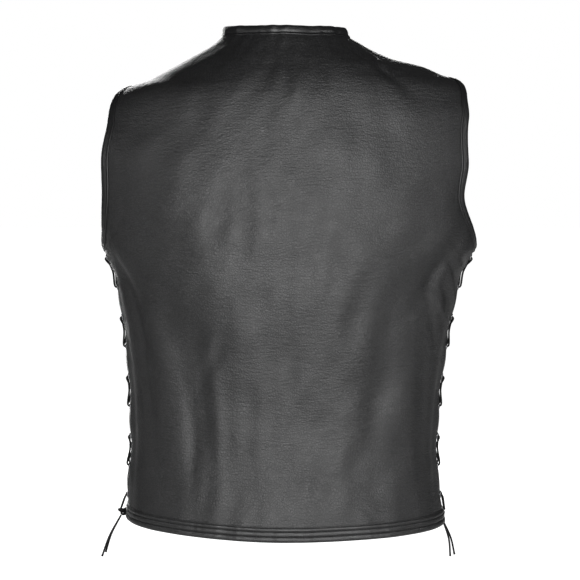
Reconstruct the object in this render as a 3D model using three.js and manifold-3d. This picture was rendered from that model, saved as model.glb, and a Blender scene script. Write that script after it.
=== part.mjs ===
// A collarless leather vest with laced sides, standing in the shape it is worn in.
// Millimetres. +Z is up, +X the wearer's left and +Y the wearer's back. The origin is
// between the shoulders, level with the inner ends of the shoulder slopes that carry it.
import * as THREE from "three";
import { mergeVertices } from "three/addons/utils/BufferGeometryUtils.js";
import Module from "manifold-3d";

const wasm = await Module();
wasm.setup();

// Leather and seams
const wall = 1.6;
const seamGap = 0.3;
const stripGap = 0.35; // between a folded strip and the wall inside it, at the least
const flatness = 0.02; // facets flatter than this are joined after a cut
const left = 1;
const right = -1;
const sides = [
  { name: "left", side: left },
  { name: "right", side: right },
];

// Where the edges run. The wearer's right shoulder is carried a little higher.
const shoulderTip = { left: -59, right: -48 };
const neckPoint = { left: 20.5, right: 18.5 };
const neckBack = 17.5;
const underarm = -254;
const hemSide = { left: -602, right: -609 };
const hemBack = -617;
const hemFront = -612;
const backLevel = -212; // the centre back's height in the row that meets the underarm
const armholeReach = { back: 61, front: 78 };
const veeBottom = -204;
const frontLap = 15; // how far each front runs past the centre front
const underlap = { depth: 6, from: -62, to: -28 };

// Folded strips on the edges
const binding = { width: 11, leather: 1, clear: 0.7, puff: 0.3 };
const hemBand = { width: 17.5, leather: 1, clear: 0.55, ridge: 0.8, groove: 0.1 };

// Side lacing
const eyelet = { rows: 9, top: -270.5, bottom: -574.5, inset: 8, bore: 2.2, barrel: 2.6, rim: 4.2 };
const eyeletSeat = { clear: 0.7, flange: 0.6, sides: 6 };
const sideGap = { half: 7, seamEnd: -260.5, opensBy: -268.5 };
const lace = { radius: 1.25, sides: 5, low: 0.4, high: 3.2 };
const laceBend = [
  { out: 0, up: 1.2 },
  { out: 1.4, up: 3 },
];
const laceEnd = { out: 4, up: 0.8, apart: 0.55, short: 2 }; // where it meets the knot
const tail = { sides: 8, steps: 8, apart: 1.75, outward: 0.5, clear: 0.35, bow: 2.5 };

// Knots, in the side's own outward direction, with the two free ends below each
const knots = {
  left: { centre: [207.5, 0, -598], size: [9, 6.8, 5.5], ends: [[236, 4, -656], [232, -3, -652]] },
  right: { centre: [200.5, 0, -603], size: [5, 6.65, 9], ends: [[212, 4, -656], [218, -3, -655]] },
};
const knotForm = { round: 10, rings: 6, lobes: 3, lobe: 0.03 };

// Press studs that hold the fronts together
const stud = { cap: 6.5, dome: 2.4, shank: 1.8, base: 5, plate: 1.2, clear: 0.35, sides: 8 };
const studHeights = [-232, -330, -428, -526];

// Level rings of the worn shape from the neck down: half width on each side, depth behind
// and in front, and squareness, where 2 is an ellipse. Between the shoulder tips and the
// underarms the widths are those of the shape that the armholes are cut from.
const rings = [
  { height: 28, left: 75, right: 73, back: 60, front: 50, square: 2.0 },
  { height: 20, left: 77.5, right: 75.5, back: 61.5, front: 53, square: 2.0 },
  { height: 10, left: 80.5, right: 79.5, back: 65, front: 58, square: 2.0 },
  { height: 0, left: 90, right: 95, back: 72, front: 65, square: 2.0 },
  { height: -10, left: 106, right: 113, back: 79, front: 72, square: 2.0 },
  { height: -20, left: 124, right: 137, back: 86, front: 79, square: 2.05 },
  { height: -30, left: 142, right: 176, back: 92, front: 86, square: 2.1 },
  { height: -40, left: 161, right: 199, back: 98, front: 92, square: 2.1 },
  { height: -46.5, left: 173, right: 217, back: 101, front: 95, square: 2.15 },
  { height: -57, left: 203, right: 231, back: 105, front: 100, square: 2.2 },
  { height: -70, left: 222, right: 239, back: 109, front: 106, square: 2.2 },
  { height: -97, left: 239, right: 250, back: 114, front: 114, square: 2.2 },
  { height: -148, left: 254, right: 253, back: 121, front: 124, square: 2.25 },
  { height: -200, left: 245.5, right: 239.5, back: 125, front: 132, square: 2.3 },
  { height: -240, left: 236, right: 243, back: 126, front: 136, square: 2.3 },
  { height: -258, left: 232, right: 241.5, back: 125, front: 137, square: 2.3 },
  { height: -276, left: 225, right: 232.5, back: 124, front: 137, square: 2.3 },
  { height: -300, left: 216, right: 222, back: 123, front: 137, square: 2.3 },
  { height: -340, left: 209, right: 213, back: 119, front: 135, square: 2.3 },
  { height: -400, left: 202, right: 203, back: 113, front: 132, square: 2.3 },
  { height: -450, left: 199, right: 197, back: 109, front: 128, square: 2.3 },
  { height: -500, left: 198, right: 194, back: 108, front: 127, square: 2.3 },
  { height: -550, left: 201, right: 195, back: 111, front: 129, square: 2.3 },
  { height: -600, left: 203, right: 202, back: 117, front: 132, square: 2.3 },
  { height: -640, left: 205, right: 206, back: 122, front: 135, square: 2.3 },
];

// Soft folds: where the middle is (angle round the body and height), how long and wide,
// how far they lean from upright in degrees, and how high, with a trough below zero
const folds = [
  { angle: 74, height: -320, length: 62, width: 9, lean: 16, rise: -2.6 },
  { angle: 80, height: -470, length: 110, width: 8, lean: 2, rise: -2.2 },
  { angle: 50, height: -420, length: 130, width: 26, lean: 12, rise: -4.5 },
  { angle: 34, height: -300, length: 90, width: 30, lean: 30, rise: 3 },
  { angle: -68, height: -282, length: 42, width: 9, lean: -24, rise: -3.4 },
  { angle: -73, height: -330, length: 60, width: 8, lean: -10, rise: 2.4 },
  { angle: -80, height: -470, length: 110, width: 8, lean: -2, rise: -2.2 },
  { angle: -52, height: -410, length: 130, width: 24, lean: -10, rise: -4.5 },
  { angle: -30, height: -330, length: 110, width: 28, lean: -24, rise: 2.6 },
  { angle: -58, height: -38, length: 30, width: 9, lean: 20, rise: -2.4 },
  { angle: 104, height: -330, length: 60, width: 12, lean: -20, rise: -3 },
  { angle: 130, height: -400, length: 120, width: 24, lean: -14, rise: -4 },
  { angle: -104, height: -330, length: 60, width: 12, lean: 20, rise: -3 },
  { angle: -130, height: -410, length: 120, width: 24, lean: 14, rise: -4 },
];
const foldRadius = 190; // turns an angle round the body into a length
const scallop = { rise: 2, reach: 22, fadeAbove: -276.5, fadeBelow: -588 };

const colours = {
  leather: { color: 0x3b3b3c, roughness: 0.55, metalness: 0 },
  binding: { color: 0x2c2c2d, roughness: 0.42, metalness: 0 },
  lace: { color: 0x0d0d0e, roughness: 0.6, metalness: 0 },
  metal: { color: 0x8d8f92, roughness: 0.32, metalness: 1 },
};

const radians = THREE.MathUtils.degToRad;
const degrees = THREE.MathUtils.radToDeg;
const mix = THREE.MathUtils.lerp;
const ease = THREE.MathUtils.smoothstep;
const sideName = (side) => (side === left ? "left" : "right");
const range = (count) => Array.from({ length: count }, (_, i) => i);

// A smooth curve through one column of the ring table that never overshoots its rows
function ringColumn(column) {
  const rows = [...rings].sort((a, b) => a.height - b.height);
  const at = rows.map((row) => row.height);
  const to = rows.map((row) => row[column]);
  const slope = range(at.length - 1).map((i) => (to[i + 1] - to[i]) / (at[i + 1] - at[i]));
  const tangent = at.map((_, i) => {
    const [below, above] = [slope[Math.max(i - 1, 0)], slope[Math.min(i, slope.length - 1)]];
    return below * above <= 0 ? 0 : (2 * below * above) / (below + above);
  });
  return (height) => {
    const h = Math.min(Math.max(height, at[0]), at[at.length - 1]);
    const i = Math.min(Math.max(at.findIndex((row) => row >= h) - 1, 0), slope.length - 1);
    const step = at[i + 1] - at[i];
    const t = (h - at[i]) / step;
    const s = 1 - t;
    return (
      to[i] * s * s * (1 + 2 * t) +
      to[i + 1] * t * t * (3 - 2 * t) +
      step * t * s * (tangent[i] * s - tangent[i + 1] * t)
    );
  };
}

const shape = Object.fromEntries(
  ["left", "right", "back", "front", "square"].map((name) => [name, ringColumn(name)]),
);

// A point of the bare shape. Angle 0 is the centre back, 90 the wearer's left, 180 the front.
function ringPoint(height, angle) {
  const across = Math.sin(radians(angle));
  const behind = Math.cos(radians(angle));
  const width = across > 0 ? shape.left(height) : shape.right(height);
  const depth = behind > 0 ? shape.back(height) : shape.front(height);
  const power = shape.square(height);
  const bulk = Math.abs(across / width) ** power + Math.abs(behind / depth) ** power;
  const reach = bulk ** (-1 / power);
  return new THREE.Vector3(across * reach, behind * reach, height);
}

// The two directions in which the surface runs, for one millimetre up and one degree round
function surfaceSteps(height, angle) {
  const up = ringPoint(height + 0.5, angle).sub(ringPoint(height - 0.5, angle));
  const round = ringPoint(height, angle + 0.5).sub(ringPoint(height, angle - 0.5));
  return { up, round, normal: up.clone().cross(round).normalize() };
}

// Eyelets are evenly spaced, and the leather swells where the lace runs inside
const eyeletPitch = (eyelet.top - eyelet.bottom) / (eyelet.rows - 1);
const eyeletHeights = range(eyelet.rows).map((i) => eyelet.top - i * eyeletPitch);
const swellHeight = eyelet.top - 1.5 * eyeletPitch;

// How far folds and the swelling between the lace's crossings stand off the bare shape
function relief(height, angle) {
  const turned = angle > 180 ? angle - 360 : angle < -180 ? angle + 360 : angle;
  const fromSide = radians(Math.abs(turned) - 90) * foldRadius;
  const window =
    ease(height, scallop.fadeBelow, scallop.fadeBelow + 15) *
    (1 - ease(height, scallop.fadeAbove - 15, scallop.fadeAbove));
  const wave = Math.cos((Math.PI * (height - swellHeight)) / eyeletPitch);
  let rise = scallop.rise * wave * window * Math.exp(-((fromSide / scallop.reach) ** 2));
  for (const fold of folds) {
    const round = radians(turned - fold.angle) * foldRadius;
    const up = height - fold.height;
    const lean = radians(fold.lean);
    const along = up * Math.cos(lean) + round * Math.sin(lean);
    const across = round * Math.cos(lean) - up * Math.sin(lean);
    rise += fold.rise * Math.exp(-((along / fold.length) ** 2) - (across / fold.width) ** 2);
  }
  return rise;
}

// A place on the leather, lifted off its outer face. sunk tells how deep a panel lies there.
function skin(height, angle, lift = 0, sunk = () => 0) {
  const point = ringPoint(height, angle);
  const offset = relief(height, angle) + lift - sunk(point, { height, angle });
  return point.addScaledVector(surfaceSteps(height, angle).normal, offset);
}

// The right front passes under the left one
function underLeftFront(point) {
  return point.y < 0 ? underlap.depth * ease(point.x, underlap.from, underlap.to) : 0;
}

// The angle at which a level ring has a given depth, or a given width in front
function angleAtDepth(side, height, depth) {
  const width = shape[sideName(side)](height);
  const reach = depth > 0 ? shape.back(height) : shape.front(height);
  const power = shape.square(height);
  const across = width * (1 - Math.abs(depth / reach) ** power) ** (1 / power);
  return side * degrees(Math.atan2(across, depth));
}

function frontAngleAtWidth(side, height, width) {
  const outward = width * side > 0 ? side : -side;
  const reach = shape[sideName(outward)](height);
  const power = shape.square(height);
  const share = Math.min(Math.abs(width) / reach, 1);
  const depth = -shape.front(height) * (1 - share ** power) ** (1 / power);
  const angle = degrees(Math.atan2(width, depth));
  return angle * side < 0 ? angle + side * 360 : angle;
}

// Height of the shoulder slope at a distance from the middle, by halving
function shoulderHeight(side, width) {
  let low = shoulderTip[sideName(side)];
  let high = neckPoint[sideName(side)];
  for (let i = 0; i < 24; i += 1) {
    const middle = (low + high) / 2;
    if (shape[sideName(side)](middle) > width) low = middle;
    else high = middle;
  }
  return (low + high) / 2;
}

function hemHeight(angle) {
  const behind = Math.cos(radians(angle));
  const side = Math.sin(radians(angle)) > 0 ? hemSide.left : hemSide.right;
  return mix(side, behind > 0 ? hemBack : hemFront, Math.abs(behind));
}

// Half the gap between back and front at the side: a sewn seam under the arm, then laced
function sideDepth(height) {
  return mix(sideGap.half, seamGap / 2, ease(height, sideGap.opensBy, sideGap.seamEnd));
}

// The rows of every panel: up the side edge, then up the armhole to the shoulder seam
const sideRows = [
  0,
  hemBand.width,
  ...range(2 * eyelet.rows - 1).map((i) => eyelet.bottom - hemSide.left + (i * eyeletPitch) / 2),
  sideGap.seamEnd - hemSide.left,
  underarm - hemSide.left,
];
// Rows round the armhole, as turns in degrees from the underarm to the tip of the shoulder,
// close together at the top because the neck curves most there
const armholeTurns = [18, 38, 60, 82, 104, 124, 140, 153, 164, 180];
const climbAt = armholeTurns.map((turn) => (1 - Math.cos(radians(turn))) / 2);
const armholeRows = armholeTurns.length;
const rowCount = sideRows.length + armholeRows;
const seamRow = sideRows.length - 1;

// One end of each row, on the outer edge of a panel. facing is 1 on the back and -1 in front.
function outerEdge(side, facing) {
  const name = sideName(side);
  const reach = facing > 0 ? armholeReach.back : armholeReach.front;
  const stretch = (underarm - hemSide[name]) / (underarm - hemSide.left);
  return range(rowCount).map((row) => {
    if (row <= seamRow) {
      const level = row <= 1 ? 1 : stretch;
      const height = underarm - (underarm - hemSide.left - sideRows[row]) * level;
      const place = row <= 1 ? hemSide[name] + sideRows[row] : height;
      return { height: place, angle: angleAtDepth(side, place, facing * sideDepth(place)) };
    }
    const turn = radians(armholeTurns[row - seamRow - 1]);
    const middle = (underarm + shoulderTip[name]) / 2;
    const height = middle - ((shoulderTip[name] - underarm) / 2) * Math.cos(turn);
    const depth = seamGap / 2 + (reach - seamGap / 2) * Math.max(Math.sin(turn), 0) ** 0.9;
    return { height, angle: angleAtDepth(side, height, facing * depth) };
  });
}

// A point moved inwards from an edge along the surface, square to the edge
function moveIn(edge, index, distance, inward, closed = false) {
  const last = edge.length - 1;
  const before = closed ? edge[(index + last) % edge.length] : edge[Math.max(index - 1, 0)];
  const after = closed ? edge[(index + 1) % edge.length] : edge[Math.min(index + 1, last)];
  const here = edge[index];
  const point = ringPoint(here.height, here.angle);
  const run = ringPoint(after.height, after.angle).sub(point).normalize();
  run.add(point.clone().sub(ringPoint(before.height, before.angle)).normalize());
  const { up, round, normal } = surfaceSteps(here.height, here.angle);
  const way = normal.clone().cross(run).normalize().multiplyScalar(inward);
  const [uu, ur, rr] = [up.dot(up), up.dot(round), round.dot(round)];
  const [wu, wr] = [way.dot(up), way.dot(round)];
  const area = uu * rr - ur * ur;
  return {
    height: here.height + (distance * (wu * rr - wr * ur)) / area,
    angle: here.angle + (distance * (wr * uu - wu * ur)) / area,
  };
}

// The places beside a panel's outer edge in one row. Under the arm they run down from it.
function besideEdge(edge, row, side, facing) {
  const { height } = edge[row];
  if (row > seamRow) {
    return boundColumns.map((distance) => moveIn(edge, row, distance, -side * facing));
  }
  const drop = radians({ [seamRow - 1]: 25, [seamRow]: 45 }[row] ?? 0);
  return edgeColumns.map((distance) => {
    const level = height - distance * Math.sin(drop);
    const depth = sideDepth(height) + distance * Math.cos(drop);
    return { height: level, angle: angleAtDepth(side, level, facing * depth) };
  });
}

// A wall through a grid of places, closed at its rims. grow thickens it on both faces.
function wallGeometry(grid, sunk, grow = 0) {
  const rows = grid.length;
  const columns = grid[0].length;
  const middle = grid.flatMap((row) => row.map((p) => skin(p.height, p.angle, 0, sunk)));
  const outer = grid.map((row) => row.map((p) => skin(p.height, p.angle, grow, sunk)));
  const inner = grid.map((row) =>
    row.map((p) => skin(p.height, p.angle, -wall - grow, sunk)),
  );
  const points = [...outer.flat(), ...inner.flat()];
  const index = (row, column, layer = 0) => layer * rows * columns + row * columns + column;
  const faces = [];
  const quad = (a, b, c, d) => {
    const [p, q, r, s] = [a, b, c, d].map((i) => middle[i % middle.length]);
    const short = p.distanceTo(r) < q.distanceTo(s);
    faces.push(...(short ? [a, b, c, a, c, d] : [a, b, d, b, c, d]));
  };
  for (const row of range(rows - 1)) {
    for (const column of range(columns - 1)) {
      const cell = [
        [row, column],
        [row + 1, column],
        [row + 1, column + 1],
        [row, column + 1],
      ];
      quad(...cell.map(([r, c]) => index(r, c)));
      const [a, b, c, d] = cell.map(([r, c]) => index(r, c, 1));
      quad(a, d, c, b);
    }
  }
  const rim = [
    ...range(columns).map((column) => [0, column]),
    ...range(rows - 1).map((row) => [row + 1, columns - 1]),
    ...range(columns - 1).map((column) => [rows - 1, columns - 2 - column]),
    ...range(rows - 2).map((row) => [rows - 2 - row, 0]),
  ];
  rim.forEach(([row, column], i) => {
    const [nextRow, nextColumn] = rim[(i + 1) % rim.length];
    quad(
      index(row, column),
      index(nextRow, nextColumn),
      index(nextRow, nextColumn, 1),
      index(row, column, 1),
    );
  });
  return indexed(points, faces);
}

function indexed(points, faces) {
  const geometry = new THREE.BufferGeometry().setFromPoints(points);
  geometry.setIndex(faces);
  geometry.computeVertexNormals();
  return geometry;
}

// A solid through matching rings of points, joined end to end or capped
function loft(ringsOfPoints, closed = false) {
  const count = ringsOfPoints[0].length;
  const faces = [];
  const spans = closed ? ringsOfPoints.length : ringsOfPoints.length - 1;
  for (const i of range(spans)) {
    const next = (i + 1) % ringsOfPoints.length;
    for (const j of range(count)) {
      const [a, b] = [i * count + j, i * count + ((j + 1) % count)];
      const [c, d] = [next * count + ((j + 1) % count), next * count + j];
      faces.push(a, b, c, a, c, d);
    }
  }
  if (!closed) {
    const flat = (ring) => {
      const centre = ring.reduce((sum, p) => sum.add(p), new THREE.Vector3()).divideScalar(count);
      const spokes = ring.map((p) => p.clone().sub(centre));
      const x = spokes[0].clone().normalize();
      const normal = new THREE.Vector3();
      spokes.forEach((spoke, j) => normal.add(spoke.clone().cross(spokes[(j + 1) % count])));
      const y = normal.normalize().clone().cross(x);
      return spokes.map((spoke) => new THREE.Vector2(spoke.dot(x), spoke.dot(y)));
    };
    const end = (ringsOfPoints.length - 1) * count;
    const capOf = (ring) => THREE.ShapeUtils.triangulateShape(flat(ring), []);
    capOf(ringsOfPoints[0]).forEach(([a, b, c]) => faces.push(a, c, b));
    capOf(ringsOfPoints.at(-1)).forEach(([a, b, c]) => faces.push(end + a, end + b, end + c));
  }
  const solid = indexed(ringsOfPoints.flat(), faces);
  return volumeOf(solid) < 0 ? indexed(ringsOfPoints.flat(), [...faces].reverse()) : solid;
}

function volumeOf(geometry) {
  const place = geometry.getAttribute("position");
  const corners = geometry.index.array;
  const [a, b, c] = [new THREE.Vector3(), new THREE.Vector3(), new THREE.Vector3()];
  let volume = 0;
  for (let i = 0; i < corners.length; i += 3) {
    a.fromBufferAttribute(place, corners[i]);
    b.fromBufferAttribute(place, corners[i + 1]);
    c.fromBufferAttribute(place, corners[i + 2]);
    volume += a.dot(b.cross(c)) / 6;
  }
  return volume;
}

function toManifold(geometry) {
  const merged = closedUp(geometry.clone());
  return new wasm.Manifold(
    new wasm.Mesh({
      numProp: 3,
      vertProperties: merged.getAttribute("position").array,
      triVerts: new Uint32Array(merged.index.array),
    }),
  );
}

function fromManifold(solid) {
  const mesh = solid.simplify(flatness).getMesh();
  const geometry = new THREE.BufferGeometry();
  geometry.setAttribute("position", new THREE.BufferAttribute(mesh.vertProperties, 3));
  geometry.setIndex([...mesh.triVerts]);
  geometry.computeVertexNormals();
  return geometry;
}

// The leather's own normal at a place, folds included, over the length of one panel facet
function leatherNormal({ height, angle }, sunk) {
  const reach = { up: eyeletPitch / 2, round: 3 };
  const up = skin(height + reach.up, angle, 0, sunk).sub(skin(height - reach.up, angle, 0, sunk));
  const left = skin(height, angle + reach.round, 0, sunk);
  return up.cross(left.sub(skin(height, angle - reach.round, 0, sunk))).normalize();
}

// A folded strip cut clear of the walls that it closes over
function clearOf(geometry, walls) {
  const cut = walls.reduce(
    (solid, { grid, sunk }) => solid.subtract(toManifold(wallGeometry(grid, sunk, stripGap))),
    toManifold(geometry),
  );
  const [largest] = cut.decompose().sort((a, b) => b.volume() - a.volume());
  return fromManifold(largest);
}

// A geometry that stands on Y, turned so that it stands square on the leather at a place
function standOn(geometry, place, sunk) {
  const normal = leatherNormal(place, sunk);
  const turn = new THREE.Quaternion().setFromUnitVectors(new THREE.Vector3(0, 1, 0), normal);
  const point = skin(place.height, place.angle, 0, sunk);
  return geometry.applyQuaternion(turn).translate(point.x, point.y, point.z);
}

function pierced(geometry, places, radius, sunk) {
  const drill = { length: 14, sides: 6 };
  return fromManifold(
    places.reduce((solid, place) => {
      const hole = new THREE.CylinderGeometry(radius, radius, drill.length, drill.sides);
      return solid.subtract(toManifold(standOn(hole, place, sunk)));
    }, toManifold(geometry)),
  );
}

const eyeletPlace = (side, facing, height) => ({
  height,
  angle: angleAtDepth(side, height, facing * (sideDepth(height) + eyelet.inset)),
});
const laceHoles = (side, facing) =>
  eyeletHeights.map((height) => eyeletPlace(side, facing, height));
const studPlaces = studHeights.map((height) => ({ height, angle: 180 }));

// The columns beside an edge stand at fixed distances from it, the others share the rest
const edgeColumns = [0, eyelet.inset, 2 * eyelet.inset];
const boundColumns = [0, binding.width / 2, binding.width];

// Places between two others, level where they leave and where they arrive
function spread(start, end, count) {
  return range(count + 1).map((i) => {
    const height = mix(start.height, end.height, ease(i / count, 0, 1));
    return { height, angle: mix(start.angle, end.angle, i / count) };
  });
}

const tipSlope = 0.92; // width across per length along the seam near the tip of the shoulder
const neckCrowding = 1.6; // places stand closer where the shoulder rises into the neck

// Places along the shoulder seam, from the neck outwards. The last stand beside the armhole.
function shoulderSeam(side, facing, count) {
  const name = sideName(side);
  const beside = edgeColumns.length - 1;
  const outer = shape[name](shoulderTip[name]);
  const inner = shape[name](neckPoint[name]);
  const limit = outer - boundColumns[beside] * tipSlope;
  return range(count + 1).map((i) => {
    const fromTip = count - i;
    const share = (i / (count - beside)) ** neckCrowding;
    const width =
      fromTip <= beside ? outer - boundColumns[fromTip] * tipSlope : mix(inner, limit, share);
    const ends = { 0: neckPoint[name], [count]: shoulderTip[name] };
    const height = ends[i] ?? shoulderHeight(side, width);
    return { height, angle: angleAtDepth(side, height, (facing * seamGap) / 2) };
  });
}

// The neckline behind, from the centre to a neck point, and the shoulder seam beyond it
const neckColumns = 5;
const shoulderColumns = 6;
const halfColumns = neckColumns + shoulderColumns;

function backTop(side) {
  const name = sideName(side);
  const neck = range(neckColumns + 1).map((i) => {
    const t = i / neckColumns;
    const height = mix(neckBack, neckPoint[name], t * t);
    const end = angleAtDepth(side, height, seamGap / 2);
    return { height, angle: end * t ** 0.95 };
  });
  return [...neck, ...shoulderSeam(side, 1, shoulderColumns).slice(1)];
}

// Half of the back's grid, from the centre outwards, row by row
function backHalf(side) {
  const edge = outerEdge(side, 1);
  const top = backTop(side);
  const beside = edgeColumns.length - 1;
  return edge.map((end, row) => {
    const strip = besideEdge(edge, row, side, 1);
    const limit = strip[beside];
    const climb = Math.max((row - seamRow) / armholeRows, 0);
    const rise = (end.height - edge[0].height) / (underarm - edge[0].height);
    const lift = (end.height - underarm) / (shoulderTip[sideName(side)] - underarm);
    return range(halfColumns + 1).map((column) => {
      const fromEdge = halfColumns - column;
      if (row < rowCount - 1 && fromEdge <= beside) return strip[fromEdge];
      const plain = column / (halfColumns - beside);
      const gathered = Math.min(column / neckColumns, 1);
      const goal = top[column];
      if (row === rowCount - 1) return goal;
      const share = mix(Math.min(plain, 1), gathered, ease(climb, 0, 0.75));
      const angle = side * 90 * share * (1 - (1 - Math.abs(limit.angle) / 90) * share ** 3);
      const hem = hemHeight((edge[0].angle * column) / halfColumns);
      const level = mix(backLevel, limit.height, ease(plain, 0, 1));
      if (row > seamRow) return { height: mix(level, goal.height, lift), angle };
      const climbed = row <= 1 ? sideRows[row] / (underarm - hemSide.left) : rise;
      return { height: mix(hem, level, climbed), angle };
    });
  });
}

function backGrid() {
  const [leftHalf, rightHalf] = [backHalf(left), backHalf(right)];
  return leftHalf.map((row, i) => [...rightHalf[i].slice(1).reverse(), ...row]);
}

// The inner edge of a front, up the centre and then up the V to the neck point
function innerEdge(side) {
  const name = sideName(side);
  return range(rowCount).map((row) => {
    if (row <= seamRow) {
      const hem = hemHeight(180);
      const share = sideRows[row] / sideRows[seamRow];
      const height = row <= 1 ? hem + sideRows[row] : mix(hem, veeBottom, share);
      return { height, angle: frontAngleAtWidth(side, height, -side * frontLap) };
    }
    const climb = climbAt[row - seamRow - 1];
    const height = mix(veeBottom, neckPoint[name], climb);
    if (row === rowCount - 1) return { height, angle: angleAtDepth(side, height, -seamGap / 2) };
    const top = shape[name](neckPoint[name]);
    const width = mix(-frontLap, top, climb ** 0.92);
    return { height, angle: frontAngleAtWidth(side, height, side * width) };
  });
}

const frontColumns = 9;

function frontGrid(side) {
  const outer = outerEdge(side, -1);
  const inner = innerEdge(side);
  return outer.map((_, row) => {
    if (row === rowCount - 1) return shoulderSeam(side, -1, frontColumns);
    const outerStrip = besideEdge(outer, row, side, -1);
    const innerStrip = boundColumns.map((distance) => moveIn(inner, row, distance, -side));
    const beside = edgeColumns.length - 1;
    const middle = spread(innerStrip[beside], outerStrip[beside], frontColumns - 2 * beside);
    return [...innerStrip.slice(0, beside), ...middle, ...outerStrip.slice(0, beside).reverse()];
  });
}

// A folded strip's cut face, as distances in from the edge and off the leather's outer face
function bindingFace({ width, leather, clear, puff }) {
  const inside = -wall - clear;
  return [
    { inset: width, lift: clear + leather * 0.8 },
    { inset: width / 2, lift: clear + leather + puff },
    { inset: 0, lift: clear + leather },
    { inset: -clear - leather, lift: 0 },
    { inset: -clear - leather, lift: -wall },
    { inset: 0, lift: inside - leather },
    { inset: width / 2, lift: inside - leather },
    { inset: width, lift: inside - leather },
    { inset: width, lift: inside },
    { inset: width / 2, lift: inside },
    { inset: -clear, lift: inside },
    { inset: -clear, lift: clear },
    { inset: width / 2, lift: clear },
    { inset: width, lift: clear },
  ];
}

// The hem's band has three rows of sewing, with a low ridge between each two
function hemFace({ width, leather, clear, ridge, groove }) {
  const top = clear + leather;
  const inside = -wall - clear;
  return [
    { inset: width, lift: top - leather * 0.3 },
    { inset: width * 0.85, lift: top + ridge },
    { inset: width * 0.68, lift: top + groove },
    { inset: width * 0.5, lift: top + ridge },
    { inset: width * 0.33, lift: top + groove },
    { inset: width * 0.12, lift: top + ridge },
    { inset: 0, lift: top },
    { inset: -clear - leather, lift: 0 },
    { inset: -clear - leather, lift: -wall },
    { inset: 0, lift: inside - leather },
    { inset: width, lift: inside - leather },
    { inset: width, lift: inside },
    { inset: -clear, lift: inside },
    { inset: -clear, lift: clear },
    { inset: width, lift: clear },
  ];
}

function strip(edge, face, inward, { closed = false, sunk } = {}) {
  const loops = edge.map((_, i) =>
    face.map(({ inset, lift }) => {
      const place = moveIn(edge, i, inset, inward, closed);
      return skin(place.height, place.angle, lift, sunk);
    }),
  );
  return loft(loops, closed);
}

function armholeEdge(side) {
  const armholeOf = (facing) => outerEdge(side, facing).slice(seamRow);
  const middle = ({ height }) => ({ height, angle: side * 90 });
  const behind = armholeOf(1);
  const before = armholeOf(-1).reverse();
  return [
    middle(behind[0]),
    ...behind.slice(1, -1),
    middle(behind.at(-1)),
    ...before.slice(1, -1),
  ];
}

// One strip runs up the left V, round behind the neck and down the right V
function neckGeometry() {
  const vee = (side) => innerEdge(side).slice(seamRow, -1);
  const neckOf = (side) => backTop(side).slice(0, neckColumns);
  const ridge = (side) => ({ height: neckPoint[sideName(side)], angle: side * 90 });
  const edge = [
    ...vee(left),
    ridge(left),
    ...neckOf(left).reverse(),
    ...neckOf(right).slice(1),
    ridge(right),
    ...vee(right).reverse(),
  ];
  return strip(edge, bindingFace(binding), -1, {
    sunk: (point, place) => (place.angle < 0 ? underLeftFront(point) : 0),
  });
}

function hemStrip(edge, sunk) {
  return strip(edge, hemFace(hemBand), -1, { sunk });
}

// A ring turned about its own axis from a closed outline of radius and lift
function turned(outline, segments) {
  const points = [...outline, outline[0]].map(([radius, lift]) => new THREE.Vector2(radius, lift));
  return closedUp(new THREE.LatheGeometry(points, segments));
}

// The same geometry with its seams joined and the empty triangles at its poles left out
function closedUp(geometry) {
  geometry.deleteAttribute("normal");
  geometry.deleteAttribute("uv");
  const merged = mergeVertices(geometry, 1e-4);
  const corners = merged.index.array;
  const faces = [];
  for (let i = 0; i < corners.length; i += 3) {
    const face = [corners[i], corners[i + 1], corners[i + 2]];
    if (new Set(face).size === 3) faces.push(...face);
  }
  merged.setIndex(faces);
  merged.computeVertexNormals();
  return merged;
}

function eyeletGeometry(place) {
  const { clear, flange, sides: segments } = eyeletSeat;
  const under = -wall - clear;
  const ring = turned(
    [
      [eyelet.bore, under - flange],
      [eyelet.rim, under],
      [eyelet.barrel, under],
      [eyelet.barrel, clear],
      [eyelet.rim, clear],
      [eyelet.bore, clear + flange],
    ],
    segments,
  );
  return standOn(ring, place);
}

function studGeometry(place) {
  const under = -underlap.depth - wall - stud.clear;
  const profile = [
    [0, under - stud.plate],
    [stud.base, under - stud.plate],
    [stud.base, under],
    [stud.shank, under],
    [stud.shank, stud.clear],
    [stud.cap, stud.clear],
    [stud.cap * 0.8, stud.clear + stud.dome * 0.7],
    [0, stud.clear + stud.dome],
  ].map(([radius, lift]) => new THREE.Vector2(radius, lift));
  return standOn(closedUp(new THREE.LatheGeometry(profile, stud.sides)), place);
}

// A round cord through a list of points, its cross-section carried along without twisting
function cord(points, radius, sideCount) {
  const tangentAt = (i) => {
    const ahead = points[Math.min(i + 1, points.length - 1)].clone();
    return ahead.sub(points[Math.max(i - 1, 0)]).normalize();
  };
  const first = tangentAt(0);
  const across = new THREE.Vector3(0, 0, 1).cross(first).normalize();
  let previous = first;
  return loft(
    points.map((point, i) => {
      const tangent = tangentAt(i);
      across.applyQuaternion(new THREE.Quaternion().setFromUnitVectors(previous, tangent));
      previous = tangent;
      const second = tangent.clone().cross(across);
      return range(sideCount).map((j) => {
        const turn = (2 * Math.PI * j) / sideCount;
        return point
          .clone()
          .addScaledVector(across, radius * Math.cos(turn))
          .addScaledVector(second, radius * Math.sin(turn));
      });
    }),
  );
}

// The lace's way out of a hole: straight through it, then over its rim towards a point.
// face is 1 on the outside of the leather and -1 on the inside.
function outOfHole(place, face, towards) {
  const centre = skin(place.height, place.angle, face > 0 ? 0 : -wall);
  const normal = leatherNormal(place).multiplyScalar(face);
  const way = towards.clone().sub(centre);
  way.addScaledVector(normal, -way.dot(normal)).normalize();
  return laceBend.map(({ out, up }) =>
    centre.clone().addScaledVector(way, out).addScaledVector(normal, up),
  );
}

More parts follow.
